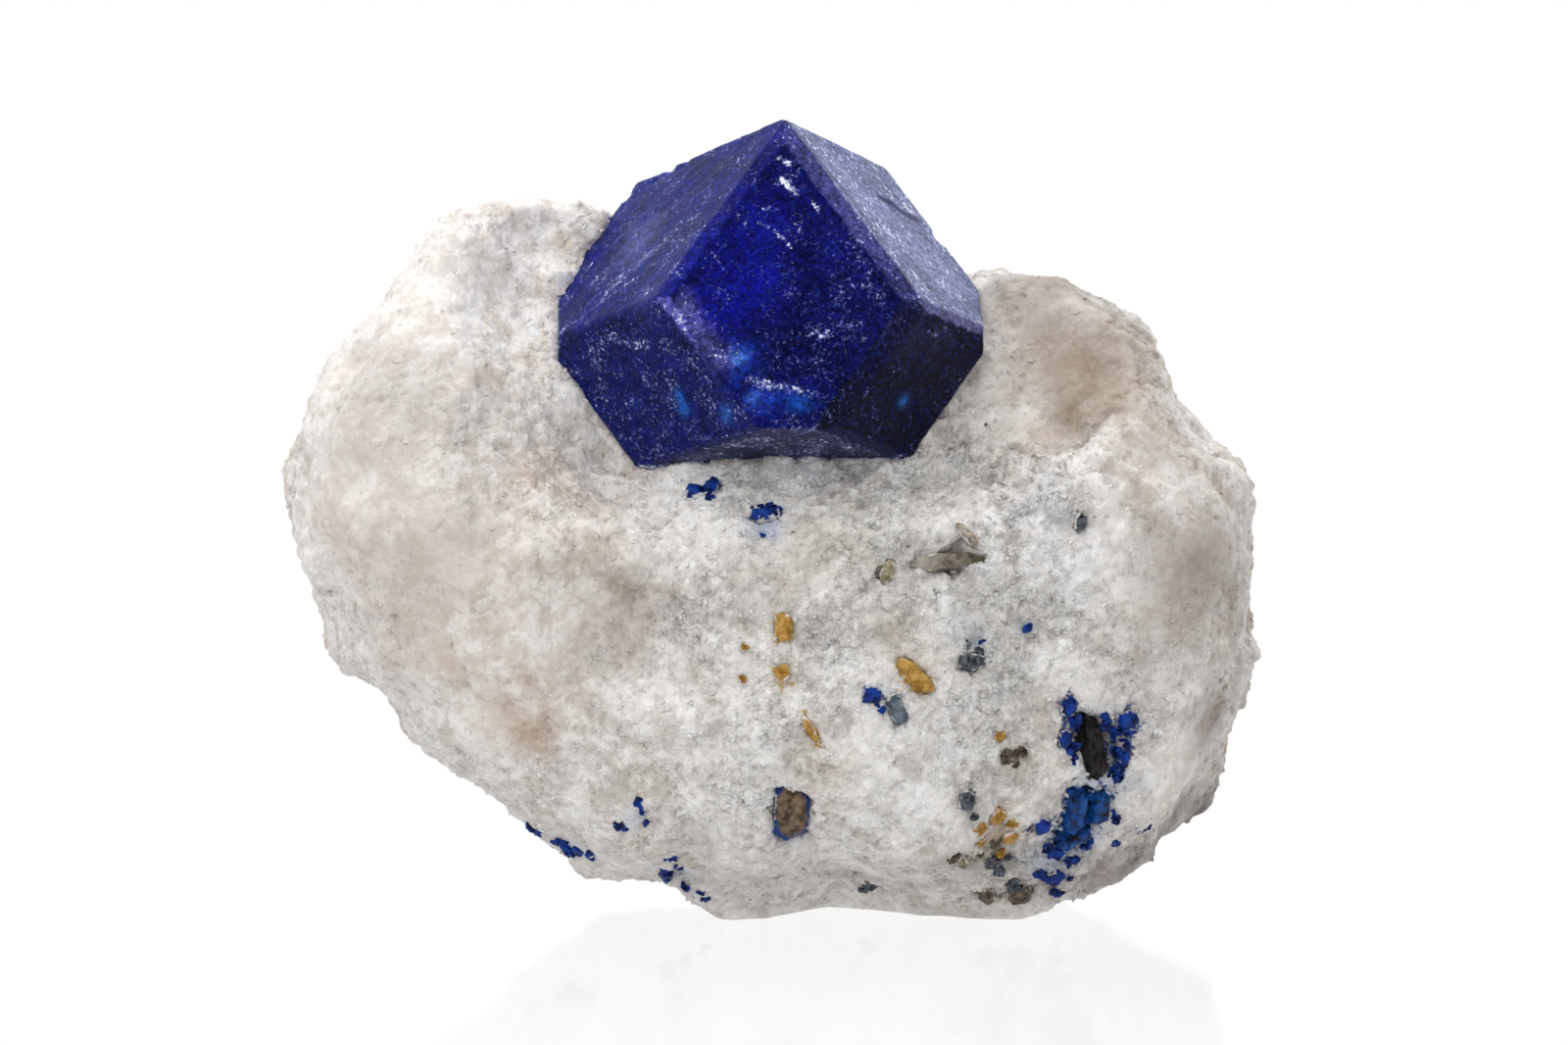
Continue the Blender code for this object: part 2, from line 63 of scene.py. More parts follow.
CAMERA_RISE = math.radians(6.0)
SENSOR_WIDTH = 36.0

# The size of each skin's faces, in millimetres.
MARBLE_VOXEL = 0.39
CRYSTAL_VOXEL = 0.2
SMALL_VOXEL = 0.11

# How the marble meets the crystals.
GAP_REACH = 0.95  # marble that ends this near to a crystal is drawn up against it
GAP_TOUCH = 0.45  # and marble this near to it touches it
CRYSTAL_SINK = 0.03  # how far inside a crystal's skin it then ends
FOOT_LOW = 31.0  # heights between which the crumbs round the large crystal's foot thin out
FOOT_TOP = 35.0
FOOT_REACH = 1.3  # how far from the crystal they lie

# The large crystal's turn and its middle in the stone, and its faces' directions in its own axes.
CRYSTAL_TURN = (-90.1, -64.6, -87.9)
CRYSTAL_MIDDLE = (-1.3, -4.0, 42.3)
CRYSTAL_FACES = {
    "front": (1, 1, 0), "upper_left": (1, 0, -1), "upper_right": (1, 0, 1),
    "lower_left": (0, 1, -1), "lower_right": (0, 1, 1), "under": (-1, 1, 0),
    "roof": (1, -1, 0), "left": (-1, 0, -1), "right": (-1, 0, 1),
    "back_left": (0, -1, -1), "back_right": (0, -1, 1), "back": (-1, -1, 0),
}

# What each face shows: its colour, how thick the pale flecks lie on it, and its fine streaks. Besides
# the stone's blue, the colours hold painted light: painted sheen (the white surroundings mirrored) on
# the upper right, roof and under faces, and painted shade on the lower right ones.
FACE_LOOKS_WITH_PAINTED_LIGHT = {
    "front": ("#02064A", 0.26, 0.1),
    "upper_left": ("#0D155E", 0.38, 0.5),
    "upper_right": ("#636683", 0.66, 0.6),
    "lower_left": ("#0A1250", 0.38, 0.2),
    "lower_right": ("#07071C", 0.22, 0.1),
    "under": ("#20223E", 0.52, 0.7),
    "roof": ("#4A4E90", 0.35, 0.6),
    "left": ("#2A2F70", 0.3, 0.5),
    "right": ("#26284E", 0.3, 0.4),
    "back_left": ("#262C6C", 0.25, 0.4),
    "back_right": ("#23285E", 0.25, 0.4),
    "back": ("#22286A", 0.2, 0.3),
    "front upper_left": ("#080E60", 0.26, 0.4),
    "front upper_right": ("#3A3870", 0.4, 1.0),
    "front lower_left": ("#4C4C9E", 0.66, 0.2),
    "front lower_right": ("#0C0A1E", 0.24, 0.5),
    "front under": ("#2E2E48", 0.44, 0.8),
    "upper_left lower_left": ("#1C2264", 0.15, 0.2),
    "upper_right lower_right": ("#55557E", 0.3, 0.2),
    "lower_left under": ("#20224E", 0.2, 0.2),
    "lower_right under": ("#1E1C3C", 0.2, 0.2),
    "upper_left roof": ("#2A307C", 0.2, 0.3),
    "upper_right roof": ("#6A6C96", 0.3, 0.3),
    "upper_left left": ("#1C2264", 0.2, 0.2),
    "lower_left left": ("#1C2264", 0.2, 0.2),
}
FACE_EDGE = 0.16  # millimetres of wander where one face's colour meets the next

# Marks on the large crystal: place, radius, colour and strength. Most are spots of brighter or darker
# blue in the stone, and some are painted sheen and painted shade.
CRYSTAL_SPOTS_AND_PAINTED_LIGHT = [
    (757, 366, 1.4, "#0E309E", 0.7), (754, 366, 0.5, "#4C84E0", 0.85), (693, 404, 0.6, "#1A56AC", 0.75),
    (698, 418, 0.6, "#1A58B0", 0.75), (741, 422, 0.65, "#1C58A6", 0.65),
    (815, 411, 0.8, "#1850B4", 0.75), (786, 404, 1.3, "#12329C", 0.65), (768, 405, 0.5, "#3C66C8", 0.6),
    (921, 409, 0.5, "#2A62AE", 0.75), (652, 416, 0.9, "#143084", 0.5), (755, 290, 2.8, "#060890", 0.6),
    (780, 225, 2.4, "#080C80", 0.45), (725, 320, 1.8, "#06088A", 0.5), (850, 262, 1.8, "#0A1468", 0.4),
    (862, 372, 1.8, "#06062E", 0.65), (905, 280, 1.8, "#080A44", 0.5), (880, 335, 2.6, "#0A0C46", 0.6),
    (800, 345, 2.2, "#04063E", 0.5), (845, 300, 2.0, "#05084A", 0.45), (798, 140, 1.3, "#1C2268", 0.6),
    # The pale grey-violet spots at (650, 250), (880, 195), (950, 270), (975, 300) and (850, 150) are
    # painted sheen on the upper faces. The dark spots at (700, 195) and (735, 172) are painted shade at
    # the top.
    (650, 250, 2.8, "#5C649C", 0.55), (700, 195, 3.2, "#080C54", 0.8), (735, 172, 1.8, "#04083C", 0.6),
    (585, 315, 2.4, "#1E2264", 0.5), (660, 300, 1.8, "#3E4484", 0.5), (880, 195, 2.6, "#7C7FA6", 0.5),
    (950, 270, 2.4, "#8688AA", 0.55), (975, 300, 1.4, "#9C9EBC", 0.5), (850, 150, 1.8, "#5E628E", 0.5),
    (700, 312, 0.8, "#6E70B8", 0.45), (711, 334, 0.8, "#6E70B8", 0.45), (724, 352, 0.8, "#6E70B8", 0.45),
    (736, 370, 0.7, "#6E70B8", 0.4), (935, 345, 1.8, "#24223E", 0.55), (960, 345, 1.6, "#30304E", 0.45),
    (925, 315, 1.6, "#10123C", 0.45), (640, 455, 2.4, "#0E1458", 0.55), (900, 430, 2.0, "#0E0D24", 0.55),
]
# Where pale calcite lies on it in fine flecks: a line of places, half width and strength.
PALE_MARKS = [
    ([(774, 227), (788, 234), (800, 244), (809, 254)], 0.07, 1.0),
    ([(793, 161), (799, 164), (805, 166)], 0.22, 1.0),
    ([(797, 184), (804, 188), (811, 197)], 0.26, 1.0),
    ([(779, 211), (786, 214), (793, 214)], 0.22, 0.8), ([(829, 205), (834, 213)], 0.18, 0.9),
    ([(770, 185), (776, 196)], 0.16, 0.6), ([(812, 228), (822, 240)], 0.1, 0.7),
    ([(850, 262), (872, 290), (885, 320)], 0.09, 0.5), ([(779, 340), (800, 352)], 0.08, 0.5),
    ([(855, 246), (868, 250)], 0.16, 0.4), ([(725, 255), (738, 275)], 0.12, 0.6),
    ([(765, 388), (800, 396), (838, 402)], 0.34, 0.75), ([(838, 344), (845, 340)], 0.22, 0.8),
    ([(570, 340), (610, 311), (660, 275), (720, 230)], 0.08, 0.8),
    ([(590, 318), (640, 276), (690, 236)], 0.07, 0.6), ([(640, 215), (745, 160)], 0.1, 0.4),
    ([(600, 262), (650, 222)], 0.14, 0.55), ([(618, 300), (660, 262), (700, 226)], 0.6, 0.55),
    ([(585, 300), (625, 250), (670, 205)], 0.35, 0.5),
    ([(626, 345), (641, 351), (660, 352)], 0.45, 0.7), ([(596, 345), (606, 368), (618, 392)], 0.6, 0.5),
    ([(610, 400), (640, 440)], 0.6, 0.35),
    ([(716, 447), (770, 441), (830, 440), (890, 446)], 0.14, 0.6),
    ([(720, 458), (800, 452), (880, 458)], 0.18, 0.75),
    ([(694, 298), (712, 332), (738, 372)], 0.36, 0.46), ([(840, 290), (880, 350)], 1.3, 0.42),
    ([(868, 248), (900, 300)], 1.0, 0.42), ([(740, 360), (840, 385)], 1.0, 0.38),
    ([(930, 380), (925, 410)], 0.5, 0.3), ([(881, 405), (886, 398)], 0.16, 0.8),
    ([(947, 338), (957, 342)], 0.16, 0.7),
]
# Thin dark cracks in it: a line of places, half width, colour and strength.
CRACKS = [
    ([(897, 201), (910, 207), (921, 217), (935, 224)], 0.2, "#070B48", 1.0),
    ([(850, 150), (866, 158), (880, 176)], 0.06, "#2A2E70", 0.6),
    ([(816, 140), (870, 205), (930, 296)], 0.12, "#2A2458", 0.6),
]
# Chips out of its edges: place, radius and depth.
CRYSTAL_CHIPS = [
    (681, 173, 1.1, 0.55), (668, 181, 0.8, 0.3), (698, 166, 0.6, 0.3), (958, 243, 0.8, 0.35),
    (974, 258, 0.9, 0.4), (988, 275, 0.7, 0.3), (912, 214, 0.7, 0.2), (663, 482, 1.0, 0.35),
    (690, 478, 0.8, 0.25), (803, 122, 1.1, 0.32), (600, 395, 0.6, 0.18), (1001, 318, 0.6, 0.2),
    (640, 200, 0.7, 0.2), (870, 150, 0.6, 0.15), (868, 468, 0.7, 0.25), (742, 470, 0.6, 0.2),
    (790, 469, 0.5, 0.15),
]

# How smooth the marble is: place, radius and share of its roughness taken away, or added.
SMOOTH_ZONES = [
    (440, 320, 10.0, 0.55), (350, 450, 8.0, 0.55), (420, 560, 9.0, 0.45), (520, 640, 6.0, 0.35),
    (500, 740, 4.0, 0.5), (1095, 375, 5.0, 0.9), (1070, 310, 4.0, 0.6), (1225, 560, 5.0, 0.45),
    (1215, 770, 4.5, 0.6), (1190, 850, 4.0, 0.6), (560, 240, 4.0, 0.3), (1170, 470, 3.5, 0.35),
    (760, 500, 3.0, -0.6), (860, 500, 3.5, -0.9), (950, 470, 3.5, -0.7), (900, 590, 4.0, -0.6),
    (1040, 490, 3.0, -0.9), (1030, 620, 4.5, -0.7), (820, 680, 4.0, -0.5), (1000, 740, 4.0, -0.6),
    (1160, 740, 3.0, -0.7), (700, 620, 3.0, -0.5), (1060, 880, 3.0, -0.7), (780, 800, 5.0, -0.3),
]
# Colours in the marble: place, radius, colour and strength. Besides its own tan, beige, grey and blue
# patches, some are painted light: painted shade on the right rim and on the underside at the lower
# right, and near-white painted light under the large crystal and at the top left, where shade falls.
MARBLE_PATCHES_AND_PAINTED_LIGHT = [
    (430, 570, 8.0, "#CBC0B5", 0.65), (385, 400, 6.0, "#B6B0AB", 0.75), (590, 540, 6.0, "#DED4C9", 0.5),
    (515, 725, 3.4, "#D2C4B7", 0.8), (538, 745, 1.8, "#C4AE9A", 0.75), (648, 625, 3.8, "#AE9C8D", 0.75),
    (640, 655, 2.0, "#B09C8C", 0.55), (560, 480, 4.0, "#DECFC2", 0.6), (450, 430, 6.5, "#D0CAC4", 0.8),
    (360, 450, 5.0, "#D6CFC8", 0.6), (400, 640, 4.0, "#CFC0B6", 0.5), (340, 520, 3.6, "#D8CCC3", 0.45),
    (500, 272, 1.6, "#D3C8BC", 0.55), (610, 345, 2.4, "#D0C6BC", 0.5), (1098, 372, 6.4, "#94816C", 0.9),
    (1090, 424, 2.2, "#8F7A60", 0.75), (1060, 345, 3.2, "#A89786", 0.55),
    (1135, 400, 2.2, "#A08D76", 0.55), (1046, 418, 2.2, "#E6E1DC", 0.8),
    (1060, 445, 1.2, "#C9B9A6", 0.6), (1080, 285, 5.5, "#A59B92", 0.85),
    (1165, 340, 4.0, "#AA9F96", 0.65), (1185, 450, 4.0, "#CABFB6", 0.6),
    # From here to the (1130, 890) patch, the grey-brown patches of the right rim and of the facet at the
    # lower right are painted shade, where the stone turns down and away from the light.
    (1162, 506, 1.6, "#BBA999", 0.6), (1248, 504, 1.6, "#C4B0A0", 0.6), (1225, 580, 5.5, "#95887E", 0.8),
    (1235, 740, 4.2, "#877A73", 0.8), (1260, 620, 4.0, "#A99D94", 0.65),
    (1190, 850, 4.6, "#7A6F69", 0.9), (1190, 866, 2.4, "#50474A", 0.8), (1225, 822, 2.4, "#5C524E", 0.8),
    (1150, 886, 2.0, "#6A605C", 0.7), (1120, 900, 2.4, "#8E837D", 0.6),
    (1130, 890, 3.0, "#A0948F", 0.55), (965, 490, 3.0, "#C6C1BC", 0.45),
    (905, 500, 2.0, "#F2F1F0", 0.45), (870, 515, 2.2, "#C6C2B4", 0.5), (835, 545, 2.2, "#D2D0BE", 0.5),
    (885, 565, 2.0, "#CBC9B9", 0.5), (1060, 520, 3.4, "#F4F3F5", 0.6), (1000, 610, 3.4, "#F0F0F0", 0.45),
    (1120, 560, 3.0, "#EEECEC", 0.45), (908, 645, 1.6, "#B5AC94", 0.55), (709, 860, 1.6, "#AAA6A4", 0.5),
    (925, 820, 3.4, "#FAF9F8", 0.85), (880, 790, 3.0, "#F4F1EE", 0.6), (1000, 885, 3.0, "#A29C98", 0.6),
    (860, 885, 5.0, "#EEEDEC", 0.5), (1010, 860, 2.2, "#B2A58C", 0.5), (840, 790, 2.6, "#E4DACC", 0.45),
    (800, 700, 2.6, "#E2DCCF", 0.4), (781, 536, 1.5, "#8FA6CC", 0.8), (716, 505, 0.8, "#8796B8", 0.6),
    (1048, 640, 0.5, "#8FA8CE", 0.7), (996, 655, 1.3, "#8A99AA", 0.75), (990, 672, 1.0, "#6E7580", 0.75),
    (900, 712, 1.2, "#A9B6C8", 0.6), (1100, 728, 2.2, "#AAB8D0", 0.6), (1125, 800, 2.4, "#9AACC8", 0.6),
    (1080, 870, 2.2, "#9AB0D0", 0.6), (1100, 850, 1.4, "#5D82B8", 0.6), (650, 835, 1.1, "#B4C0D8", 0.6),
    (690, 890, 1.4, "#A4B4D4", 0.6), (590, 866, 1.3, "#A8B4CC", 0.5), (1100, 530, 1.1, "#8E9098", 0.7),
    (1080, 525, 1.6, "#ACB2BA", 0.5), (806, 838, 1.9, "#B8C0D0", 0.5), (1033, 772, 1.0, "#A08C74", 0.65),
    (988, 822, 1.2, "#7C7874", 0.7), (1020, 850, 1.2, "#A8834C", 0.5), (1160, 850, 0.9, "#8AA2C8", 0.6),
    # The near-white patches at (800, 478), (735, 500) and (690, 500) are painted light under the large
    # crystal's overhang, where its shade falls.
    (1122, 300, 0.9, "#8A8078", 0.45), (800, 478, 2.6, "#FDFDFD", 0.7), (735, 500, 2.6, "#FFFFFF", 0.75),
    (690, 500, 2.0, "#FBFAF9", 0.6), (930, 560, 2.6, "#C6C2BE", 0.45), (1000, 700, 4.0, "#EAE8E7", 0.4),
    (1080, 600, 3.6, "#FEFDFD", 0.6), (1180, 660, 4.0, "#D2CAC5", 0.5), (690, 560, 4.5, "#F8F6F4", 0.6),
    # The near-white patch at (500, 255) is painted light at the top left, where the stone faces up and
    # away.
    (720, 640, 4.0, "#F6F4F2", 0.5), (690, 720, 6.0, "#F2EFEC", 0.55), (500, 255, 5.0, "#FDFAF8", 0.85),
    (760, 600, 4.5, "#CFCAC5", 0.55),
]

# Thin lines in the marble, mostly painted light: a painted shadow under the ledge, painted shade in
# grooves and crevices, and pale painted highlights along ridges. Places, half width, colour and
# strength.
PAINTED_SHADE_AND_HIGHLIGHT_LINES = [
    ([(1034, 456), (1060, 464), (1081, 454), (1103, 450), (1118, 432), (1127, 419), (1142, 417)],
     0.34, "#84705E", 0.75),
    ([(1112, 291), (1124, 300), (1133, 313)], 0.14, "#6E6258", 0.75),
    ([(433, 330), (500, 324), (565, 332)], 0.5, "#F8F6F3", 0.55),
    ([(540, 690), (556, 720), (560, 765)], 0.35, "#C2AD9B", 0.6),
    ([(617, 585), (640, 600), (690, 604)], 0.4, "#A89584", 0.5),
    ([(1250, 660), (1253, 746), (1222, 777), (1195, 808), (1174, 839), (1146, 867)],
     0.4, "#F2EEEA", 0.5),
    ([(995, 370), (985, 410), (960, 440)], 0.6, "#9A948F", 0.5),
    ([(660, 500), (700, 520), (760, 560)], 0.5, "#F4F2F0", 0.45),
]

# Small grains that are only flecks of colour in the marble's face, as chips: place and width.
SPECKS = {
    "blue_specks": [
        (649, 817, 0.8), (632, 844, 0.9), (661, 840, 0.5), (684, 876, 0.8), (681, 893, 1.2),
        (718, 914, 0.8), (540, 844, 0.7), (577, 864, 1.1), (603, 873, 0.8), (590, 869, 0.8),
        (692, 884, 0.7), (699, 906, 0.6), (655, 829, 0.4), (1164, 848, 0.8), (1139, 861, 0.6),
        (987, 646, 0.4), (1048, 641, 0.55), (1003, 652, 0.5), (1096, 775, 0.6), (1088, 745, 0.7),
        (1070, 842, 0.9), (1072, 868, 1.1), (1095, 878, 0.9), (1108, 862, 0.9), (1062, 893, 0.9),
        (1078, 912, 0.9), (1090, 893, 0.7), (1131, 740, 0.8), (1152, 751, 0.9), (1143, 790, 0.8),
        (1133, 812, 0.9), (1137, 833, 0.8), (1098, 738, 0.8), (1106, 726, 0.8), (1127, 733, 0.8),
        (1138, 750, 0.8), (1140, 768, 0.8), (1134, 784, 0.9), (1124, 795, 0.8), (1096, 762, 0.8),
        (1092, 820, 0.8), (1085, 833, 0.7), (766, 521, 0.5), (775, 517, 0.5), (786, 517, 0.6),
        (793, 520, 0.5), (779, 545, 0.35), (735, 492, 0.6), (722, 508, 0.7), (708, 497, 0.6),
        (884, 706, 0.5), (898, 722, 0.6), (549, 851, 0.5), (567, 860, 0.6), (1174, 843, 0.4),
        (1103, 748, 0.5),
    ],
    "amber_specks": [
        (760, 660, 0.4), (758, 693, 0.4), (1021, 752, 0.6), (999, 847, 0.7), (1003, 858, 0.6),
        (1030, 840, 0.8), (1036, 856, 0.6), (1012, 829, 0.6), (796, 646, 0.6), (806, 631, 0.6),
        (820, 740, 0.5), (1020, 871, 0.6),
    ],
    "dark_specks": [
        (1014, 882, 1.0), (890, 904, 1.0), (1006, 433, 0.2), (990, 812, 0.8), (983, 826, 0.9),
        (994, 833, 0.6), (982, 668, 0.8), (995, 676, 0.7), (1001, 664, 0.6), (989, 655, 0.5),
        (1104, 530, 0.7), (911, 722, 0.7), (917, 732, 0.7), (905, 728, 0.5), (1020, 890, 0.8),
        (1035, 905, 0.9), (1026, 876, 0.7), (1008, 893, 0.6), (880, 908, 0.6), (1118, 742, 0.6),
    ],
    "brown_specks": [
        (1041, 766, 0.8), (1028, 770, 0.9), (1035, 778, 0.6), (973, 876, 0.7), (985, 880, 0.7),
        (1000, 872, 0.6), (1004, 906, 0.7), (1045, 915, 0.7), (990, 548, 0.5), (981, 540, 0.5),
        (900, 590, 0.4), (1016, 862, 0.7),
    ],
}
CHIPS_IN_SPECK = 6

# What seeps from a small crystal into the marble round it, by its name or its name's first word.
SEEPS = {"blue": "#1B3A84", "dark_crystal": "#16367E", "dark": "#454C55", "brown": "#8C7D6E",
         "brown_needle": "#CFC9C2", "grey_prism": "#C8C4BC", "grey": "#A4A8AC", "amber": "#CDB27C",
         "olive": "#A8A18C"}
SEEP_REACH = 1.4  # how far it seeps

# Loose calcite grains on each side: how many to a square millimetre, their size and the seed.
GRAIN_SETS = {"front": (3.6, 0.34, 11), "back": (2.6, 0.36, 23)}

# Every small crystal's mineral, by its name or its name's first word: the material's name, its dark
# and light tones, the size of its grains, its roughness, how clear it is, how much its grains are
# drawn out upwards into blades, and colours laid over it. Each of those goes by a number that the
# mesh keeps: the range over which it comes in, how much of it shows at most, and its colour.
MINERALS = {
    # Lazurite grains: ink blue with brighter blue where a grain is thin.
    "blue": ("grain_lazurite", "#010630", "#0C3A96", 0.7, 0.42),
    # The blocky cluster: more of the bright, greenish blue of thin plates.
    "blue_cluster": ("plate_lazurite", "#000412", "#0E4C9A", 0.6, 0.35),
    # Pyroxene: crumbled grains, dark grey with paler broken edges.
    "dark": ("crumbled_pyroxene", "#1B1E23", "#666C74", 0.4, 0.5),
    # The large pyroxene crystal: nearly black, in upright splintery blades.
    "dark_crystal": ("bladed_pyroxene", "#020203", "#292421", 0.35, 0.35, 0.0, 6.0),
    # Phlogopite mica: honey amber, and light glows through its thin edges.
    "amber": ("honey_phlogopite", "#84601C", "#C29A54", 0.7, 0.35, 0.3),
    # Weathered mica: brown with grey on its worn faces.
    "brown": ("weathered_mica", "#302820", "#7C6F60", 0.6, 0.5),
    # The needle: mica bleached to a pale brown.
    "brown_needle": ("pale_mica_needle", "#75685A", "#B5AA9E", 0.6, 0.5),
    # The tablet: brown mica with a pale worn middle in a thin rim of lazurite.
    "brown_tablet": ("rimmed_mica", "#3C2E22", "#84705C", 0.7, 0.4, 0.0, 1.0,
                     [("rim", 0.0, 1.0, 1.0, "#12306A")]),
    # Diopside: grey green, glassy and streaky.
    "grey": ("grey_diopside", "#5E574C", "#9C9488", 0.7, 0.3, 0.2),
    # Slate grey diopside beside a blue grain.
    "grey_grain": ("slate_diopside", "#2C3540", "#6C7884", 0.5, 0.4),
    # The lens shaped prism: whitish at its left end and dark olive at its point.
    "grey_prism": ("lens_diopside", "#544E44", "#928A7C", 0.8, 0.28, 0.2, 1.0,
                   [("side", 0.0, -0.9, 0.8, "#BDB8AE"), ("side", 0.3, 0.8, 0.7, "#45422F")]),
    # Diopside with an olive tint, in duller grains.
    "olive": ("olive_diopside", "#6E6650", "#A39A80", 0.4, 0.45, 0.2),
}

# The soft boxes: place and size in metres, power, and whether the crystal's faces mirror it.
SOFT_BOXES = {
    "overhead": ((-0.10, 0.06, 0.50), (0.35, 0.30), 0.9, True),
    "left_key": ((-0.42, -0.22, 0.34), (0.25, 0.25), 0.26, True),
    "right_back": ((0.34, 0.30, 0.34), (0.25, 0.25), 0.30, True),
    "front_fill": ((-0.10, -0.55, 0.26), (0.30, 0.25), 0.75, False),
}


def linear(code):
    """An sRGB hex colour as the linear red, green, blue and alpha that Blender takes."""
    channels = [int(code[i:i + 2], 16) / 255 for i in (1, 3, 5)]
    return [c / 12.92 if c <= 0.04045 else ((c + 0.055) / 1.055) ** 2.4 for c in channels] + [1.0]


def in_use(sockets, key):
    """The socket in that place, or the one of that name which the node's settings leave in use."""
    if isinstance(key, int):
        return sockets[key]
    return next(s for s in sockets if s.name == key and s.enabled)


def feed(tree, node, inputs):
    """Gives a node's sockets their values and links."""
    for key, value in inputs.items():
        if isinstance(value, bpy.types.NodeSocket):
            tree.links.new(value, in_use(node.inputs, key))
        else:
            in_use(node.inputs, key).default_value = value


def add_node(tree, kind, inputs=None, out=0, **settings):
    """Adds a node with its settings, values and links, and gives the output asked for."""
    node = tree.nodes.new(kind)
    for name, value in settings.items():
        setattr(node, name, value)
    feed(tree, node, inputs or {})
    return node if out is None else in_use(node.outputs, out)


def maths(tree, operation, *values):
    """Arithmetic on numbers."""
    return add_node(tree, "ShaderNodeMath", dict(enumerate(values)), operation=operation)


def vectors(tree, operation, *values):
    """Arithmetic on vectors or colours."""
    return add_node(tree, "ShaderNodeVectorMath", dict(enumerate(values)), operation=operation)


def scaled(tree, vector, factor):
    """A vector or a colour times a number."""
    return add_node(tree, "ShaderNodeVectorMath", {0: vector, "Scale": factor}, operation="SCALE")


def spread(tree, value, low, high, new_low=0.0, new_high=1.0):
    """Carries a value from the range low to high to the new one, and no further."""
    return add_node(tree, "ShaderNodeMapRange", {
        "Value": value, "From Min": low, "From Max": high, "To Min": new_low,
        "To Max": new_high}, "Result")


def blend(tree, share, first, second, kind="RGBA"):
    """The first colour or number where the share is 0, and the second where it is 1."""
    return add_node(tree, "ShaderNodeMix", {"Factor": share, "A": first, "B": second}, "Result",
                    data_type=kind)


def stored(tree, name, out="Fac"):
    """What the mesh keeps under that name."""
    return add_node(tree, "ShaderNodeAttribute", out=out, attribute_name=name)


def lumps(tree, place, size, detail, roughness=0.5, distortion=0.0, out="Fac"):
    """Noise with lumps about size millimetres across."""
    return add_node(tree, "ShaderNodeTexNoise", {
        "Vector": place, "Scale": 1 / (size * MM), "Detail": detail, "Roughness": roughness,
        "Distortion": distortion}, out)


def cells(tree, place, size, out=None, **settings):
    """A pattern of cells about size millimetres across."""
    return add_node(tree, "ShaderNodeTexVoronoi", {"Vector": place, "Scale": 1 / (size * MM)}, out,
                    **settings)


def embossed(tree, height, strength, depth, under=None, **settings):
    """The shading direction over a pattern that stands depth millimetres high."""
    inputs = {"Height": height, "Strength": strength, "Distance": depth * MM}
    if under:
        inputs["Normal"] = under
    return add_node(tree, "ShaderNodeBump", inputs, "Normal", **settings)


def new_material(name):
    """A material with the plain shader, and the shader's node."""
    material = bpy.data.materials.new(name)
    material.use_nodes = True
    return material, material.node_tree, material.node_tree.nodes["Principled BSDF"]


def add_object(name, data):
    """A new object in the scene: a mesh, a light or a camera."""
    obj = bpy.data.objects.new(name, data)
    bpy.context.scene.collection.objects.link(obj)
    return obj


def merged_skin(node):
    """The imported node's loose triangles as one closed skin."""
    skin = bmesh.new()
    skin.from_mesh(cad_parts[node].data)
    bmesh.ops.remove_doubles(skin, verts=skin.verts, dist=MERGE)
    return skin


def keep_shape(obj):
    """Makes the object's mesh what its modifiers make of it, and removes them."""
    graph = bpy.context.evaluated_depsgraph_get()
    mesh = bpy.data.meshes.new_from_object(obj.evaluated_get(graph))
    obj.modifiers.clear()
    obj.data = mesh


def wear(obj, times):
    """Adds a modifier that rounds the object's edges, a little each time."""
    smooth = obj.modifiers.new("wear", "SMOOTH")
    smooth.factor = 0.5
    smooth.iterations = times


def fine_copy(node, name, voxel, smoothing):
    """A copy of a node in small even faces, its sharp edges worn a little."""
    mesh = bpy.data.meshes.new(name)
    skin = merged_skin(node)
    skin.to_mesh(mesh)
    skin.free()
    obj = add_object(name, mesh)
    remesh = obj.modifiers.new("even_faces", "REMESH")
    remesh.mode = "VOXEL"
    remesh.voxel_size = voxel * MM
    remesh.use_smooth_shade = True
    if smoothing:
        wear(obj, smoothing)
    keep_shape(obj)
    return obj


def search_tree(node):
    """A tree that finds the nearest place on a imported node, and what a line of sight meets."""
    skin = merged_skin(node)
    tree = BVHTree.FromBMesh(skin)
    skin.free()
    return tree


def per_vertex(mesh, name):
    """Each vertex's place or normal, as a row of three."""
    flat = np.empty(len(mesh.vertices) * 3, np.float32)
    mesh.vertices.foreach_get(name, flat)
    return flat.reshape(-1, 3).astype(float)


def places(mesh):
    """The vertices' places in millimetres."""
    return per_vertex(mesh, "co") / MM


def move_to(mesh, points):
    """Sets the vertices' places from millimetres."""
    mesh.vertices.foreach_set("co", (points * MM).astype(np.float32).ravel())
    mesh.update()


def store(mesh, name, values):
    """Keeps a number or a colour for each vertex, which materials and grains read."""
    if values.ndim == 1:
        layer = mesh.attributes.new(name, "FLOAT", "POINT")
        layer.data.foreach_set("value", values.astype(np.float32))
        return
    layer = mesh.attributes.new(name, "FLOAT_COLOR", "POINT")
    flat = np.hstack([values, np.ones((len(values), 1))]).astype(np.float32)
    layer.data.foreach_set("color", flat.ravel())


def swell(points, size, shift=0.0):
    """Smooth noise from about -1 to 1 at each point, its lumps about size across."""
    grid = (points / size + (shift, shift * 1.7, -shift)).tolist()
    return np.array([noise.noise(p) for p in grid])


def swells(points, *layers, start=0.0):
    """Several swells added up: the height of each, the size of its lumps and its shift."""
    return sum((height * swell(points, size, shift) for height, size, shift in layers), start)


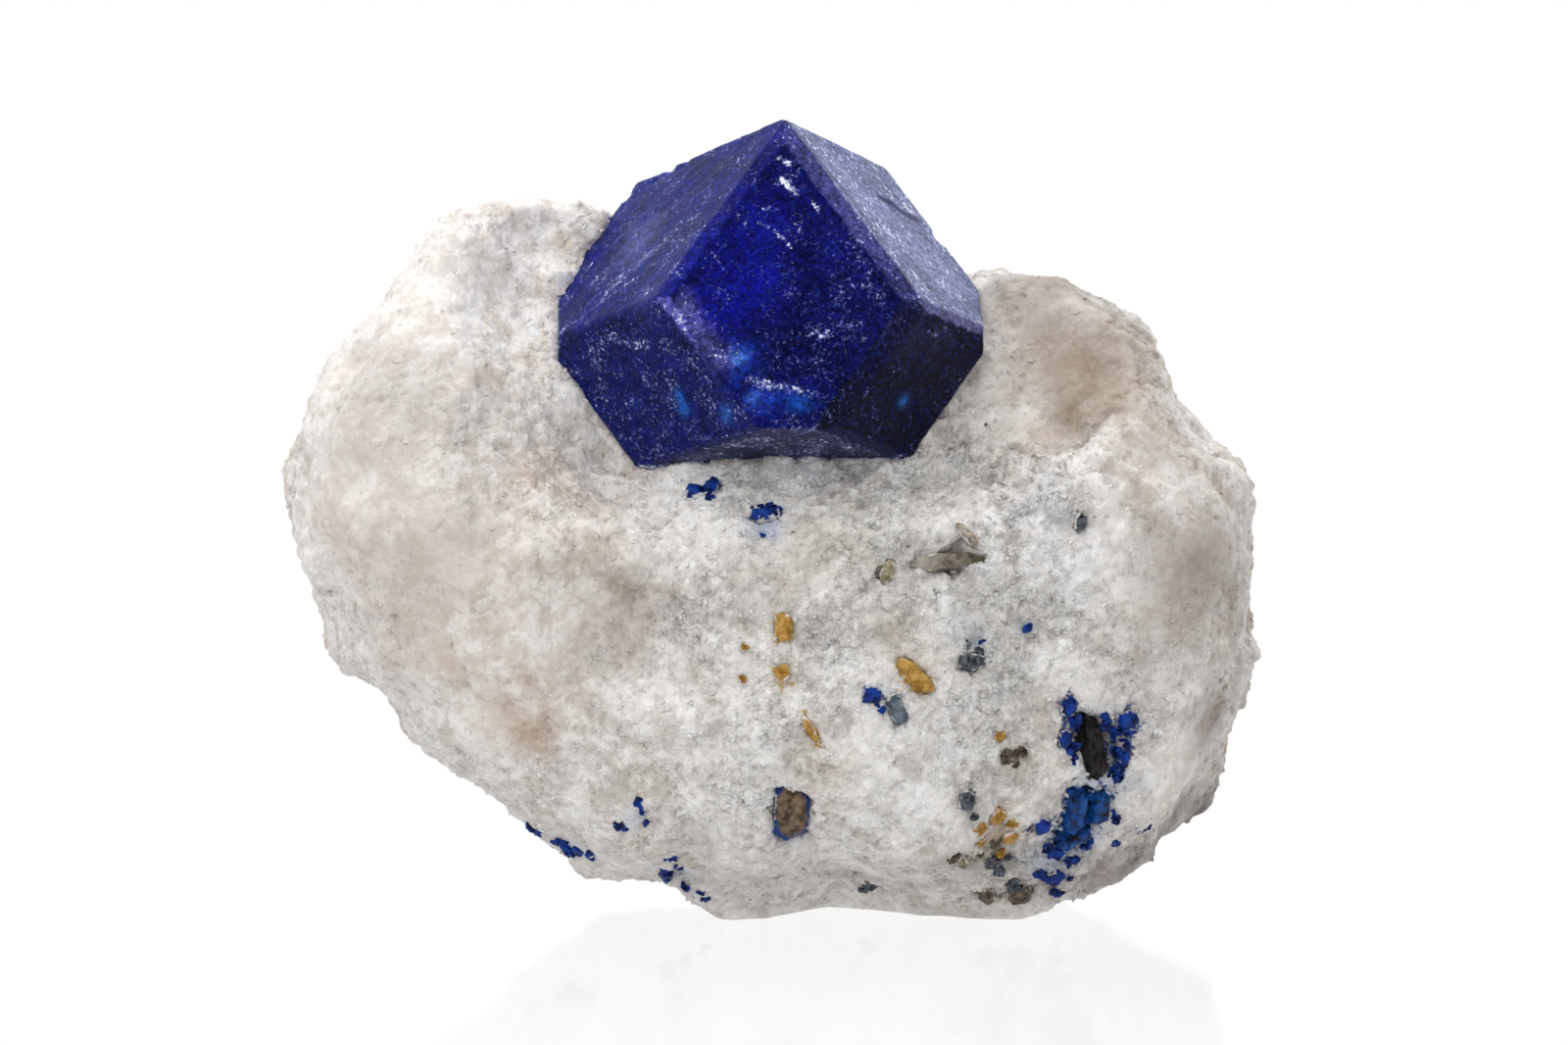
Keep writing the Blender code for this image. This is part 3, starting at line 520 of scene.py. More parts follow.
def mosaic(points, size, shift=0.0):
    """Splits space into grains: how deep each point is in its own, and the slope of that one."""
    grid = (points / size + (shift, -shift, shift * 0.6)).tolist()
    depth = np.empty(len(points))
    slope = np.empty(len(points))
    for i, p in enumerate(grid):
        near, middles = noise.voronoi(p)
        middle = middles[0]
        depth[i] = near[1] - near[0]
        lean = [noise.noise(middle * 3.7), noise.noise(middle * 5.3), noise.noise(middle * 4.1)]
        slope[i] = sum(a * (b - c) for a, b, c in zip(lean, p, middle))
    return depth, slope


def smooth_step(values, low, high):
    """Rises smoothly from 0 at low to 1 at high."""
    t = np.clip((values - low) / (high - low), 0.0, 1.0)
    return t * t * (3.0 - 2.0 * t)


def sight(column, row):
    """The line of sight through a pixel of the photograph: where it starts and its direction."""
    back = Vector((0.0, -math.cos(CAMERA_RISE), math.sin(CAMERA_RISE)))
    up = Vector((0.0, math.sin(CAMERA_RISE), math.cos(CAMERA_RISE)))
    eye = AIM + back * CAMERA_DISTANCE
    across = (column - IMAGE_SIZE[0] / 2) * PIXEL
    rise = (IMAGE_SIZE[1] / 2 - row) * PIXEL
    target = AIM + Vector((across, 0.0, 0.0)) + up * rise
    return eye, (target - eye).normalized()


def seen_at(tree, pixel):
    """The place in millimetres, and the outward direction, of what shows at that pixel."""
    eye, line = sight(*pixel)
    place, normal, _, _ = tree.ray_cast(eye, line)
    if place is None:
        across = eye + line * CAMERA_DISTANCE
        place, normal, _, _ = tree.find_nearest(across)
    return np.array(place) / MM, np.array(normal)


def near_spots(points, wander, tree, pixel, radius):
    """How strongly each point belongs to a soft, ragged spot: 1 in its middle and 0 outside."""
    middle, _ = seen_at(tree, pixel)
    away = np.linalg.norm(points - middle, axis=1) / radius
    return np.exp(-(away * wander) ** 2 * 1.4)


def near_line(points, tree, pixels, half_width):
    """How strongly each point belongs to a thin line through those pixels."""
    ends = [seen_at(tree, p)[0] for p in pixels]
    away = np.full(len(points), 1e9)
    for a, b in zip(ends, ends[1:]):
        along = b - a
        t = np.clip((points - a) @ along / (along @ along), 0.0, 1.0)
        away = np.minimum(away, np.linalg.norm(points - a - t[:, None] * along, axis=1))
    return np.exp(-(away / half_width / 1.6) ** 2)


def tinted(colours, share, code):
    """The colours, mixed with one more by a share for each point."""
    return colours + share[:, None] * (np.array(linear(code)[:3]) - colours)


def nearest_to(points, tree):
    """For each point the nearest place on the tree, its outward direction and the distance."""
    found = [tree.find_nearest(p) for p in (points * MM).tolist()]
    place = np.array([f[0] for f in found]) / MM
    normal = np.array([f[1] for f in found])
    return place, normal, np.array([f[3] for f in found]) / MM


def give(piece, nodes, material):
    """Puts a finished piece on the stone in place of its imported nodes."""
    piece.data.materials.append(material)
    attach(piece, "root")
    if nodes:
        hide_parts(*nodes)


def by_name(table, name):
    """What a table holds under that name, or else under the name's first word."""
    return table.get(name, table.get(name.split("_")[0]))


def face_directions():
    """The outward direction of each crystal face and of each facet between two of them."""
    turn = Euler([math.radians(a) for a in CRYSTAL_TURN]).to_matrix()
    found = {name: turn @ Vector(d).normalized() for name, d in CRYSTAL_FACES.items()}
    for name in FACE_LOOKS_WITH_PAINTED_LIGHT:
        if " " in name:
            first, second = name.split()
            found[name] = (found[first] + found[second]).normalized()
    return found


def large_crystal(tree, marble_tree):
    """The large crystal: flat frosted faces, worn edges with chips, and its colour by face, with painted
    sheen on its upper faces and painted shade on its lower ones.
    """
    crystal = fine_copy("lazurite_crystal", "large_crystal", CRYSTAL_VOXEL, 0)
    mesh = crystal.data
    points = places(mesh)
    flat, normal, _ = nearest_to(points, tree)
    directions = face_directions()
    table = np.array([directions[name] for name in FACE_LOOKS_WITH_PAINTED_LIGHT])
    wavy = np.stack([swell(points, 0.7, shift) for shift in (3.0, 8.0, 15.0)], 1)
    _, ragged, _ = nearest_to(points + wavy * FACE_EDGE, tree)
    face = (ragged @ table.T).argmax(axis=1)
    face_hexes_with_painted_light, thick, streaky = zip(*FACE_LOOKS_WITH_PAINTED_LIGHT.values())
    colours = np.array([linear(code)[:3] for code in face_hexes_with_painted_light])[face]
    flecks = np.array(thick)[face]
    streaks = np.array(streaky)[face]

    # Etched lows and highs, gentler on the front face, which is the smoothest.
    etched = swells(flat, (0.045, 2.6, 1.0), (0.03, 1.0, 5.0), (0.014, 0.5, 9.0))
    front = list(FACE_LOOKS_WITH_PAINTED_LIGHT).index("front")
    shape = flat + normal * (etched * np.where(front == face, 0.7, 1.2))[:, None]
    for *pixel, radius, depth in CRYSTAL_CHIPS:
        middle, _ = seen_at(tree, pixel)
        away = np.linalg.norm(shape - middle, axis=1) / radius
        broken = 1.0 + 0.5 * swell(shape, 0.5, radius)
        inward = np.array(CRYSTAL_MIDDLE) - middle
        inward /= np.linalg.norm(inward)
        shape = shape + inward * (depth * broken * (1.0 - smooth_step(away, 0.2, 1.0)))[:, None]
    move_to(mesh, shape)

    wander = swells(points, (0.45, 0.9, 21.0), (0.3, 0.4, 33.0), start=1.0)
    # Its spots, with painted sheen and painted shade among them.
    for *pixel, radius, code, strength in CRYSTAL_SPOTS_AND_PAINTED_LIGHT:
        share = strength * near_spots(points, wander, tree, pixel, radius)
        colours = tinted(colours, share, code)
    for pixels, half_width, code, strength in CRACKS:
        share = strength * near_line(points, tree, pixels, half_width)
        colours = tinted(colours, share, code)
        flecks *= 1.0 - share
        streaks *= 1.0 - share
    for pixels, half_width, strength in PALE_MARKS:
        flecks = np.maximum(flecks, strength * near_line(points, tree, pixels, half_width))

    # Crumbs of calcite cling to its foot, where it stands in the marble.
    foot = nearest_to(points, marble_tree)[2] + 0.3 * swell(points, 0.9, 61.0)
    low_down = smooth_step(-points[:, 2], -FOOT_TOP, -FOOT_LOW)
    clinging = (1.0 - smooth_step(foot, 0.15, 0.6)) * low_down
    flecks = np.maximum(flecks, 1.2 * clinging)
    # Its colour, with painted sheen and painted shade in it, and its pale flecks and streaks.
    store(mesh, "body_colour_and_painted_light", colours)
    store(mesh, "flecks", flecks)
    store(mesh, "streaks", streaks)
    wear(crystal, 2)
    keep_shape(crystal)
    return crystal


def calm_share(points, tree):
    """How much of the roughness each point of the marble keeps: less in the smooth zones."""
    keep = np.ones(len(points))
    wander = 1.0 + 0.3 * swell(points, 4.0, 12.0)
    for *pixel, radius, amount in SMOOTH_ZONES:
        keep *= 1.0 - amount * near_spots(points, wander, tree, pixel, radius)
    return keep


def marble_colours_and_painted_light(points, tree):
    """The marble's colour at each point: clouds of white and cream, painted shade on the right and low
    down, and patches and lines that hold painted shade and painted highlights.
    """
    colours = np.tile(linear("#F1EEEB")[:3], (len(points), 1))
    clouds = swells(points, (1.0, 6.0, 2.0), (0.6, 2.6, 7.0))
    colours = tinted(colours, 0.5 * smooth_step(clouds, 0.05, 0.7), "#E4DBD2")
    colours = tinted(colours, 0.5 * smooth_step(-clouds, 0.05, 0.7), "#F6F4F2")
    # Painted shade: darker towards the right side and towards the bottom, which turn away from the
    # light.
    right = smooth_step(points[:, 0], 26.0, 35.0)
    colours = tinted(colours, 0.45 * right, "#C3B8B2")
    low = smooth_step(-points[:, 2], -9.0, -1.0)
    colours = tinted(colours, 0.35 * low, "#BDB7B4")
    wander = swells(points, (0.35, 2.4, 31.0), (0.3, 0.9, 37.0), start=1.0)
    for *pixel, radius, code, strength in MARBLE_PATCHES_AND_PAINTED_LIGHT:
        share = strength * near_spots(points, wander, tree, pixel, radius)
        colours = tinted(colours, share, code)
    # The lines of painted shade and painted highlight.
    for pixels, half_width, code, strength in PAINTED_SHADE_AND_HIGHLIGHT_LINES:
        share = strength * near_line(points, tree, pixels, half_width) * np.clip(wander, 0.3, 1.0)
        colours = tinted(colours, share, code)
    return colours


def draw_up(points, normals, tree, box):
    """Draws the marble up against a crystal, and says which points are its pocket's wall."""
    low, high = box
    inside = np.all(points > np.array(low) / MM - GAP_REACH, axis=1)
    inside &= np.all(points < np.array(high) / MM + GAP_REACH, axis=1)
    chosen = np.nonzero(inside)[0]
    place, normal, away = nearest_to(points[chosen], tree)
    towards = np.einsum("ij,ij->i", place - points[chosen], normals[chosen])
    near = away < GAP_REACH
    pull = (1.0 - smooth_step(away, GAP_TOUCH, GAP_REACH)) * near
    sunk = place - normal * CRYSTAL_SINK
    moved = points.copy()
    moved[chosen] += (sunk - points[chosen]) * pull[:, None]
    wall = np.zeros(len(points), bool)
    wall[chosen] = near & (towards > 0.3 * away)
    return moved, wall


def seeped(points, crystal_trees):
    """The colour that seeps into the marble from the nearest small crystal, and how near it is."""
    colours = np.tile(linear("#A09C98")[:3], (len(points), 1))
    nearest = np.full(len(points), SEEP_REACH)
    for name, crystal_tree in crystal_trees.items():
        code = by_name(SEEPS, name)
        if code:
            low, high = [np.array(corner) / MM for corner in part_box(name)]
            inside = np.all((points > low - SEEP_REACH) & (points < high + SEEP_REACH), axis=1)
            chosen = np.nonzero(inside)[0]
            away = nearest_to(points[chosen], crystal_tree)[2]
            closer = chosen[away < nearest[chosen]]
            colours[closer] = linear(code)[:3]
            nearest[chosen] = np.minimum(nearest[chosen], away)
    return colours, 1.0 - nearest / SEEP_REACH


def marble_body(tree, crystal_trees):
    """The marble: a sugary break of interlocking grains, smoother where it parted cleanly."""
    marble = fine_copy("marble_matrix", "marble_body", MARBLE_VOXEL, 8)
    mesh = marble.data
    points = places(mesh)
    normals = per_vertex(mesh, "normal")
    seep, seep_near = seeped(points, crystal_trees)

    # How rough it is: less in the smooth zones, and in wide patches of the back.
    keep = calm_share(points, tree)
    patchy = smooth_step(-swell(points, 9.0, 41.0), -0.3, 0.3)
    behind = smooth_step(normals[:, 1], 0.0, 0.4) * patchy
    keep *= 1.0 - 0.55 * behind
    resting = smooth_step(points[:, 2], 0.15, 1.2)

    # Lumps, grains that each slope their own way with sunk seams between them, and sugar.
    rolling = swells(points, (0.3, 4.6, 1.0), (0.2, 2.1, 6.0))
    coarse_depth, coarse_slope = mosaic(points, 1.9, 4.0)
    fine_depth, fine_slope = mosaic(points, 1.0, 9.0)
    grains = 0.50 * coarse_slope - 0.16 * np.exp(-(coarse_depth / 0.12) ** 2)
    grains += 0.34 * fine_slope - 0.09 * np.exp(-(fine_depth / 0.14) ** 2)
    grains += swells(points, (0.16, 0.85, 14.0), (0.1, 0.5, 27.0))
    relief = rolling * (0.4 + 0.6 * np.minimum(keep, 1.0)) + grains * keep
    points = points + normals * (relief * resting)[:, None]
    wall = np.zeros(len(points), bool)
    for name, crystal_tree in crystal_trees.items():
        points, own_wall = draw_up(points, normals, crystal_tree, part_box(name))
        wall |= own_wall
    points[:, 2] = np.maximum(points[:, 2], 0.0)
    move_to(mesh, points)

    # Where loose grains lie: in clusters where it is rough, fewer along its outline, many at the
    # large crystal's foot and none in the pockets of the small crystals.
    clusters = 0.25 + 0.75 * smooth_step(swell(points, 2.4, 19.0), -0.25, 0.4)
    outline = 0.2 + 0.8 * smooth_step(np.abs(normals[:, 1]), 0.25, 0.55)
    crumbs = np.minimum(keep, 1.4) ** 3 * clusters * outline * resting
    away = nearest_to(points, crystal_trees["lazurite_crystal"])[2]
    foot = np.exp(-(away / FOOT_REACH) ** 2)
    foot *= smooth_step(-points[:, 2], -FOOT_TOP, -FOOT_LOW)
    crumbs = np.where(wall, 0.0, np.maximum(crumbs, 2.2 * foot))
    facing = smooth_step(-normals[:, 1] + 0.35, 0.0, 0.3)
    # Its colours, with painted shade and painted light among them.
    store(mesh, "stain_and_painted_light", marble_colours_and_painted_light(points, tree))
    store(mesh, "seep", seep)
    store(mesh, "seep_near", seep_near)
    store(mesh, "broken", np.clip(keep, 0.0, 1.5))
    store(mesh, "front_crumbs", crumbs * facing)
    store(mesh, "back_crumbs", crumbs * (1.0 - facing))
    store(mesh, "shade", np.zeros(len(points)))
    return marble


def grain_tree(material):
    """Nodes that strew small cleaved grains of calcite over a skin, each a little sunk in it."""
    tree = bpy.data.node_groups.new("calcite_grains", "GeometryNodeTree")
    wanted = [("Skin", "NodeSocketGeometry"), ("Where", "NodeSocketString"),
              ("Grains per square metre", "NodeSocketFloat"), ("Grain size", "NodeSocketFloat"),
              ("Seed", "NodeSocketInt")]
    for name, kind in wanted:
        tree.interface.new_socket(name, in_out="INPUT", socket_type=kind)
    tree.interface.new_socket("Grains", in_out="OUTPUT", socket_type="NodeSocketGeometry")
    given = add_node(tree, "NodeGroupInput", out=None).outputs
    crumbs = add_node(tree, "GeometryNodeInputNamedAttribute", {"Name": given["Where"]},
                      "Attribute", data_type="FLOAT")
    density = maths(tree, "MULTIPLY", crumbs, given["Grains per square metre"])
    strewn = add_node(tree, "GeometryNodeDistributePointsOnFaces",
                      {"Mesh": given["Skin"], "Density": density, "Seed": given["Seed"]},
                      None, distribute_method="RANDOM")
    depth = maths(tree, "MULTIPLY", given["Grain size"], -0.25)
    sunk = scaled(tree, strewn.outputs["Normal"], depth)
    points = add_node(tree, "GeometryNodeSetPosition",
                      {"Geometry": strewn.outputs["Points"], "Offset": sunk})
    shade = add_node(tree, "FunctionNodeRandomValue", {2: -1.0, 3: 1.0, "Seed": 5}, "Value",
                     data_type="FLOAT")
    shaded = add_node(tree, "GeometryNodeStoreNamedAttribute",
                      {"Geometry": points, "Name": "shade", "Value": shade},
                      data_type="FLOAT", domain="POINT")

    # One grain: a cube pushed over to the slant of calcite's cleavage.
    cube = add_node(tree, "GeometryNodeMeshCube", {"Size": (1.0, 1.0, 1.0)}, "Mesh")
    corner = add_node(tree, "ShaderNodeSeparateXYZ",
                      {0: add_node(tree, "GeometryNodeInputPosition")}, None).outputs
    lean = maths(tree, "MULTIPLY", corner["Z"], 0.28)
    both = maths(tree, "ADD", lean, maths(tree, "MULTIPLY", corner["Y"], 0.24))
    offset = add_node(tree, "ShaderNodeCombineXYZ", {"X": both, "Y": lean})
    rhomb = add_node(tree, "GeometryNodeSetPosition", {"Geometry": cube, "Offset": offset})
    turn = add_node(tree, "FunctionNodeRandomValue",
                    {0: (0.0, 0.0, 0.0), 1: (6.283, 6.283, 6.283), "Seed": 7}, 0,
                    data_type="FLOAT_VECTOR")
    turned = add_node(tree, "FunctionNodeEulerToRotation", {0: turn})
    share = add_node(tree, "FunctionNodeRandomValue",
                     {0: (0.45, 0.35, 0.5), 1: (1.15, 0.9, 1.5), "Seed": 9}, 0,
                     data_type="FLOAT_VECTOR")
    size = scaled(tree, share, given["Grain size"])
    placed = add_node(tree, "GeometryNodeInstanceOnPoints",
                      {"Points": shaded, "Instance": rhomb, "Rotation": turned, "Scale": size})
    real = add_node(tree, "GeometryNodeRealizeInstances", {"Geometry": placed})
    coated = add_node(tree, "GeometryNodeSetMaterial", {"Geometry": real, "Material": material})
    add_node(tree, "NodeGroupOutput", {"Grains": coated}, None)
    return tree


def marble_grains(marble, tree, side):
    """The small cleaved grains that stand out of the marble's skin on one side of it."""
    per_mm2, size, seed = GRAIN_SETS[side]
    grains = add_object("marble_grains_" + side, marble.data.copy())
    grains.data.materials.clear()
    strew = grains.modifiers.new("grains", "NODES")
    strew.node_group = tree
    values = {"Where": side + "_crumbs", "Grains per square metre": per_mm2 / MM ** 2,
              "Grain size": size * MM, "Seed": seed}
    for item in tree.interface.items_tree:
        if item.name in values:
            strew[item.identifier] = values[item.name]
    keep_shape(grains)
    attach(grains, "root")


def small_crystal(node, material, marble_tree):
    """A small crystal of the marble's face: uneven, worn, and dusty where it sinks in."""
    crystal = fine_copy(node, "rough_" + node, SMALL_VOXEL, 1)
    mesh = crystal.data
    points = places(mesh)
    uneven = swells(points, (0.1, 0.8, 3.0), (0.08, 0.36, 11.0))
    move_to(mesh, points + per_vertex(mesh, "normal") * uneven[:, None])
    low, high = [np.array(corner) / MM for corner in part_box(node)]
    share = (points - (low + high) / 2) / ((high - low) / 2)
    outer = np.hypot(share[:, 0], share[:, 2]) + 0.12 * swell(points, 0.6, 5.0)
    away = nearest_to(points, marble_tree)[2]
    store(mesh, "dust", np.clip(0.72 - (away - 0.3) / 0.6, 0.0, 0.72))
    store(mesh, "rim", smooth_step(outer, 0.72, 0.9))
    store(mesh, "side", share[:, 0])
    give(crystal, [node], material)


def speck_piece(name, tree, material):
    """Small grains that show as flecks of colour, each a few chips sunk in the marble's face."""
    chance = random.Random(name)
    grains = bmesh.new()
    for *pixel, width in SPECKS[name]:
        place, normal = seen_at(tree, pixel)
        for _ in range(CHIPS_IN_SPECK):
            turn = Euler([chance.uniform(0, math.tau) for _ in range(3)]).to_matrix()
            chip = bmesh.ops.create_cube(grains, size=1.0)["verts"]
            sizes = Vector([width * chance.uniform(0.25, 0.7) for _ in range(3)])
            aside = Vector([width * chance.uniform(-0.42, 0.42) for _ in range(3)])
            aside -= aside.project(Vector(normal))
            middle = Vector(place) + aside - Vector(normal) * width * 0.1
            for vertex in chip:
                bent = Vector([chance.uniform(-0.18, 0.18) for _ in range(3)])
                vertex.co = (turn @ ((vertex.co + bent) * sizes) + middle) * MM
    mesh = bpy.data.meshes.new(name)
    grains.to_mesh(mesh)
    grains.free()
    piece = add_object(name, mesh)
    for key in ("rim", "side", "dust"):
        store(mesh, key, np.zeros(len(mesh.vertices)))
    give(piece, [], material)


def marble_material(name, weight, reach):
    """Coarse calcite marble, freshly broken: light sinks in and comes back soft and milky, each grain
    has its own tone and leans its own way to catch the light, a few grains carry a painted glint in
    their colour, and the gaps between grains are a little greyer."""
    material, tree, shader = new_material(name)
    place = add_node(tree, "ShaderNodeTexCoord", out="Object")
    # Its stored colour, with painted shade and painted light among the patches.
    stain_and_painted_light = stored(tree, "stain_and_painted_light", "Color")
    broken = stored(tree, "broken")
    ragged = lumps(tree, place, 0.5, 2.0, out="Color")
    warped = vectors(tree, "ADD", place, scaled(tree, ragged, 0.3 * MM))
    grain = cells(tree, warped, 0.52).outputs

    # A milky veil in ragged clouds over clearer ground, tan where it parted cleanly, else grey.
    clouds = lumps(tree, place, 3.0, 9.0, 0.66, 0.5)
    crumbs = lumps(tree, place, 1.1, 6.0, 0.68, 0.9)
    veil = spread(tree, blend(tree, 0.4, clouds, crumbs, "FLOAT"), 0.45, 0.54)
    kind = spread(tree, broken, 0.75, 1.25)
    tint = blend(tree, kind, (0.80, 0.745, 0.69, 1.0), (0.71, 0.695, 0.68, 1.0))
    faint = spread(tree, lumps(tree, place, 11.0, 2.0), 0.42, 0.58, 0.6, 0.0)
    tint = blend(tree, faint, tint, (0.94, 0.93, 0.92, 1.0))
    veiled = blend(tree, veil, vectors(tree, "MULTIPLY", stain_and_painted_light, tint), stain_and_painted_light)

    # What seeps in from a small crystal, with a ragged edge.
    torn = lumps(tree, place, 0.55, 5.0, 0.7)
    edge = maths(tree, "MULTIPLY_ADD", torn, 2.2, stored(tree, "seep_near"))
    soaked = spread(tree, edge, 1.78, 2.0, 0.0, 0.92)
    stained = blend(tree, soaked, veiled, stored(tree, "seep", "Color"))

    # Where it broke roughly, grey gaps and seams between its grains, and here and there a painted glint:
    # a grain made brighter in its colour.
    gaps = spread(tree, lumps(tree, place, 0.28, 3.0, 0.7), 0.38, 0.5, 0.91)
    seams = cells(tree, warped, 1.3, "Distance", feature="DISTANCE_TO_EDGE")
    seams = blend(tree, veil, spread(tree, seams, 0.0, 0.11, 0.80), 1.0, "FLOAT")
    painted_glint = spread(tree, grain["Color"], 0.63, 0.66, 0.0, 0.16)
    gaps = maths(tree, "ADD", maths(tree, "MULTIPLY", gaps, seams), painted_glint)
    gaps = blend(tree, kind, 1.0, gaps, "FLOAT")

    # The tone of each grain and of each loose one.
    tone = maths(tree, "MULTIPLY", spread(tree, grain["Color"], 0.0, 1.0, 0.90, 1.02), gaps)
    loose = maths(tree, "MULTIPLY_ADD", stored(tree, "shade"), 0.05, 1.0)
    colour = scaled(tree, stained, maths(tree, "MULTIPLY", tone, loose))

    # Crumbly relief, and each grain leans its own way.
    crumbly = embossed(tree, lumps(tree, place, 0.8, 5.0, 0.62), broken, 0.5)
    grainy = embossed(tree, grain["Distance"], 0.4, 0.12, crumbly, invert=True)
    centred = vectors(tree, "SUBTRACT", grain["Color"], (0.5, 0.5, 0.5))
    lean = scaled(tree, centred, maths(tree, "MULTIPLY", broken, 0.45))
    feed(tree, shader, {
        "Base Color": vectors(tree, "MINIMUM", colour, (0.96, 0.955, 0.95)),
        "Roughness": spread(tree, grain["Color"], 0.0, 1.0, 0.25, 0.75),
        "Normal": vectors(tree, "NORMALIZE", vectors(tree, "ADD", grainy, lean)),
        "IOR": 1.58, "Specular IOR Level": 0.4, "Subsurface Weight": weight,
        "Subsurface Radius": (1.0, 0.85, 0.75), "Subsurface Scale": reach * MM})
    return material


def lazurite_face_material(crystal_tree):
    """The large crystal's etched lazurite: ultramarine, its colour by face with painted sheen and
    painted shade, and specks of brighter blue that paint the glow of light sinking into it a little,
    under a frosted skin with fine pits, streaks along the growth steps and flecks of pale calcite."""
    material, tree, shader = new_material("etched_lazurite")
    place = add_node(tree, "ShaderNodeTexCoord", out="Object")
    clouds = lumps(tree, place, 2.6, 5.0, 0.62)
    tone = spread(tree, clouds, 0.3, 0.72, 0.5, 1.5)
    colour = scaled(tree, stored(tree, "body_colour_and_painted_light", "Color"), tone)
    grit = lumps(tree, place, 0.32, 4.0, 0.7)
    colour = scaled(tree, colour, spread(tree, grit, 0.40, 0.60, 0.5, 1.6))

    # Fine streaks that run the way of the growth steps on the upper left face.
    start, _ = seen_at(crystal_tree, (570, 340))
    end, _ = seen_at(crystal_tree, (720, 230))
    turn = Vector(end - start).to_track_quat("X", "Z").to_euler()
    along = add_node(tree, "ShaderNodeMapping", {
        "Vector": place, "Rotation": turn, "Scale": (7.0, 1.0, 1.0)}, vector_type="TEXTURE")
    lines = lumps(tree, along, 0.34, 5.0, 0.7)
    pale = spread(tree, lines, 0.56, 0.72, 0.0, 0.4)
    shown = maths(tree, "MULTIPLY", pale, stored(tree, "streaks"))
    colour = blend(tree, shown, colour, linear("#7A82B8"))

    # Specks of brighter blue: a painted glow, where light would get in.
    painted_glow = spread(tree, lumps(tree, place, 0.36, 4.0, 0.75), 0.54, 0.64, 0.0, 0.3)
    colour = blend(tree, painted_glow, colour, linear("#1B379C"))

    # Pale flecks: the crests of a fine noise, more of them where the flecks lie thick.
    specks = lumps(tree, place, 0.27, 5.0, 0.75, 0.4)
    crest = maths(tree, "MULTIPLY_ADD", stored(tree, "flecks"), 0.3, specks)
    crest = maths(tree, "MULTIPLY_ADD", lumps(tree, place, 1.7, 3.0), 0.35, crest)
    for low, high, most, code in ((0.84, 0.92, 0.55, "#6874BC"), (0.94, 0.99, 0.95, "#E4E8F4")):
        colour = blend(tree, spread(tree, crest, low, high, 0.0, most), colour, linear(code))

    frost = embossed(tree, lumps(tree, place, 0.3, 4.0, 0.6), 0.45, 0.07)
    feed(tree, shader, {
        "Base Color": colour, "Normal": embossed(tree, lines, shown, 0.12, frost),
        "Roughness": spread(tree, clouds, 0.0, 1.0, 0.34, 0.52), "IOR": 1.5,
        "Specular IOR Level": 0.07})
    return material


def mineral_material(name, dark, light, size, roughness, clear=0.0, drawn=1.0, marks=()):
    """A small crystal's mineral, as a row of MINERALS tells it, with a broken gloss and torn bits
    of the marble over it where it sinks into the marble."""
    material, tree, shader = new_material(name)
    place = add_node(tree, "ShaderNodeTexCoord", out="Object")
    stretched = add_node(tree, "ShaderNodeMapping", {
        "Vector": place, "Scale": (1.0, 1.0, drawn)}, vector_type="TEXTURE")
    tones = lumps(tree, stretched, size, 4.0, 0.65)
    colour = blend(tree, spread(tree, tones, 0.38, 0.64), linear(dark), linear(light))
    for key, low, high, most, code in marks:
        shown = spread(tree, stored(tree, key), low, high, 0.0, most)
        colour = blend(tree, shown, colour, linear(code))
    torn = lumps(tree, place, 0.5, 5.0, 0.7)
    edge = maths(tree, "MULTIPLY_ADD", torn, 1.6, stored(tree, "dust"))
    dusty = spread(tree, edge, 1.42, 1.55, 0.0, 0.85)
    feed(tree, shader, {
        "Base Color": blend(tree, dusty, colour, linear("#D5D1CD")),
        "Normal": embossed(tree, tones, 0.7, 0.12), "Roughness": roughness,
        "Specular IOR Level": 0.2, "Subsurface Weight": clear, "Subsurface Scale": 0.4 * MM})
    return material


def studio_floor():
    """A pale glossy table top that fades the specimen's reflection towards the camera."""
    bpy.ops.mesh.primitive_plane_add(size=6.0, location=(0.0, 0.0, -0.05 * MM))
    floor = bpy.context.object
    floor.name = "floor"
    material, tree, _ = new_material("pale_gloss_table")
    tree.nodes.clear()
    place = add_node(tree, "ShaderNodeTexCoord", out="Object")
    apart = add_node(tree, "ShaderNodeSeparateXYZ", {0: place}, None).outputs
    ray = add_node(tree, "ShaderNodeLightPath", out="Is Diffuse Ray")
    white = (1.0, 1.0, 1.0, 1.0)
    glow = add_node(tree, "ShaderNodeEmission", {
        "Color": white, "Strength": spread(tree, ray, 0.0, 1.0, 1.02, 0.8)})
    gloss = add_node(tree, "ShaderNodeBsdfGlossy", {"Color": white, "Roughness": 0.09})
    share = spread(tree, apart["Y"], -120 * MM, -10 * MM, 0.0, 0.17)
    mixed = add_node(tree, "ShaderNodeMixShader", {0: share, 1: glow, 2: gloss})
    add_node(tree, "ShaderNodeOutputMaterial", {"Surface": mixed}, None)
    floor.data.materials.append(material)


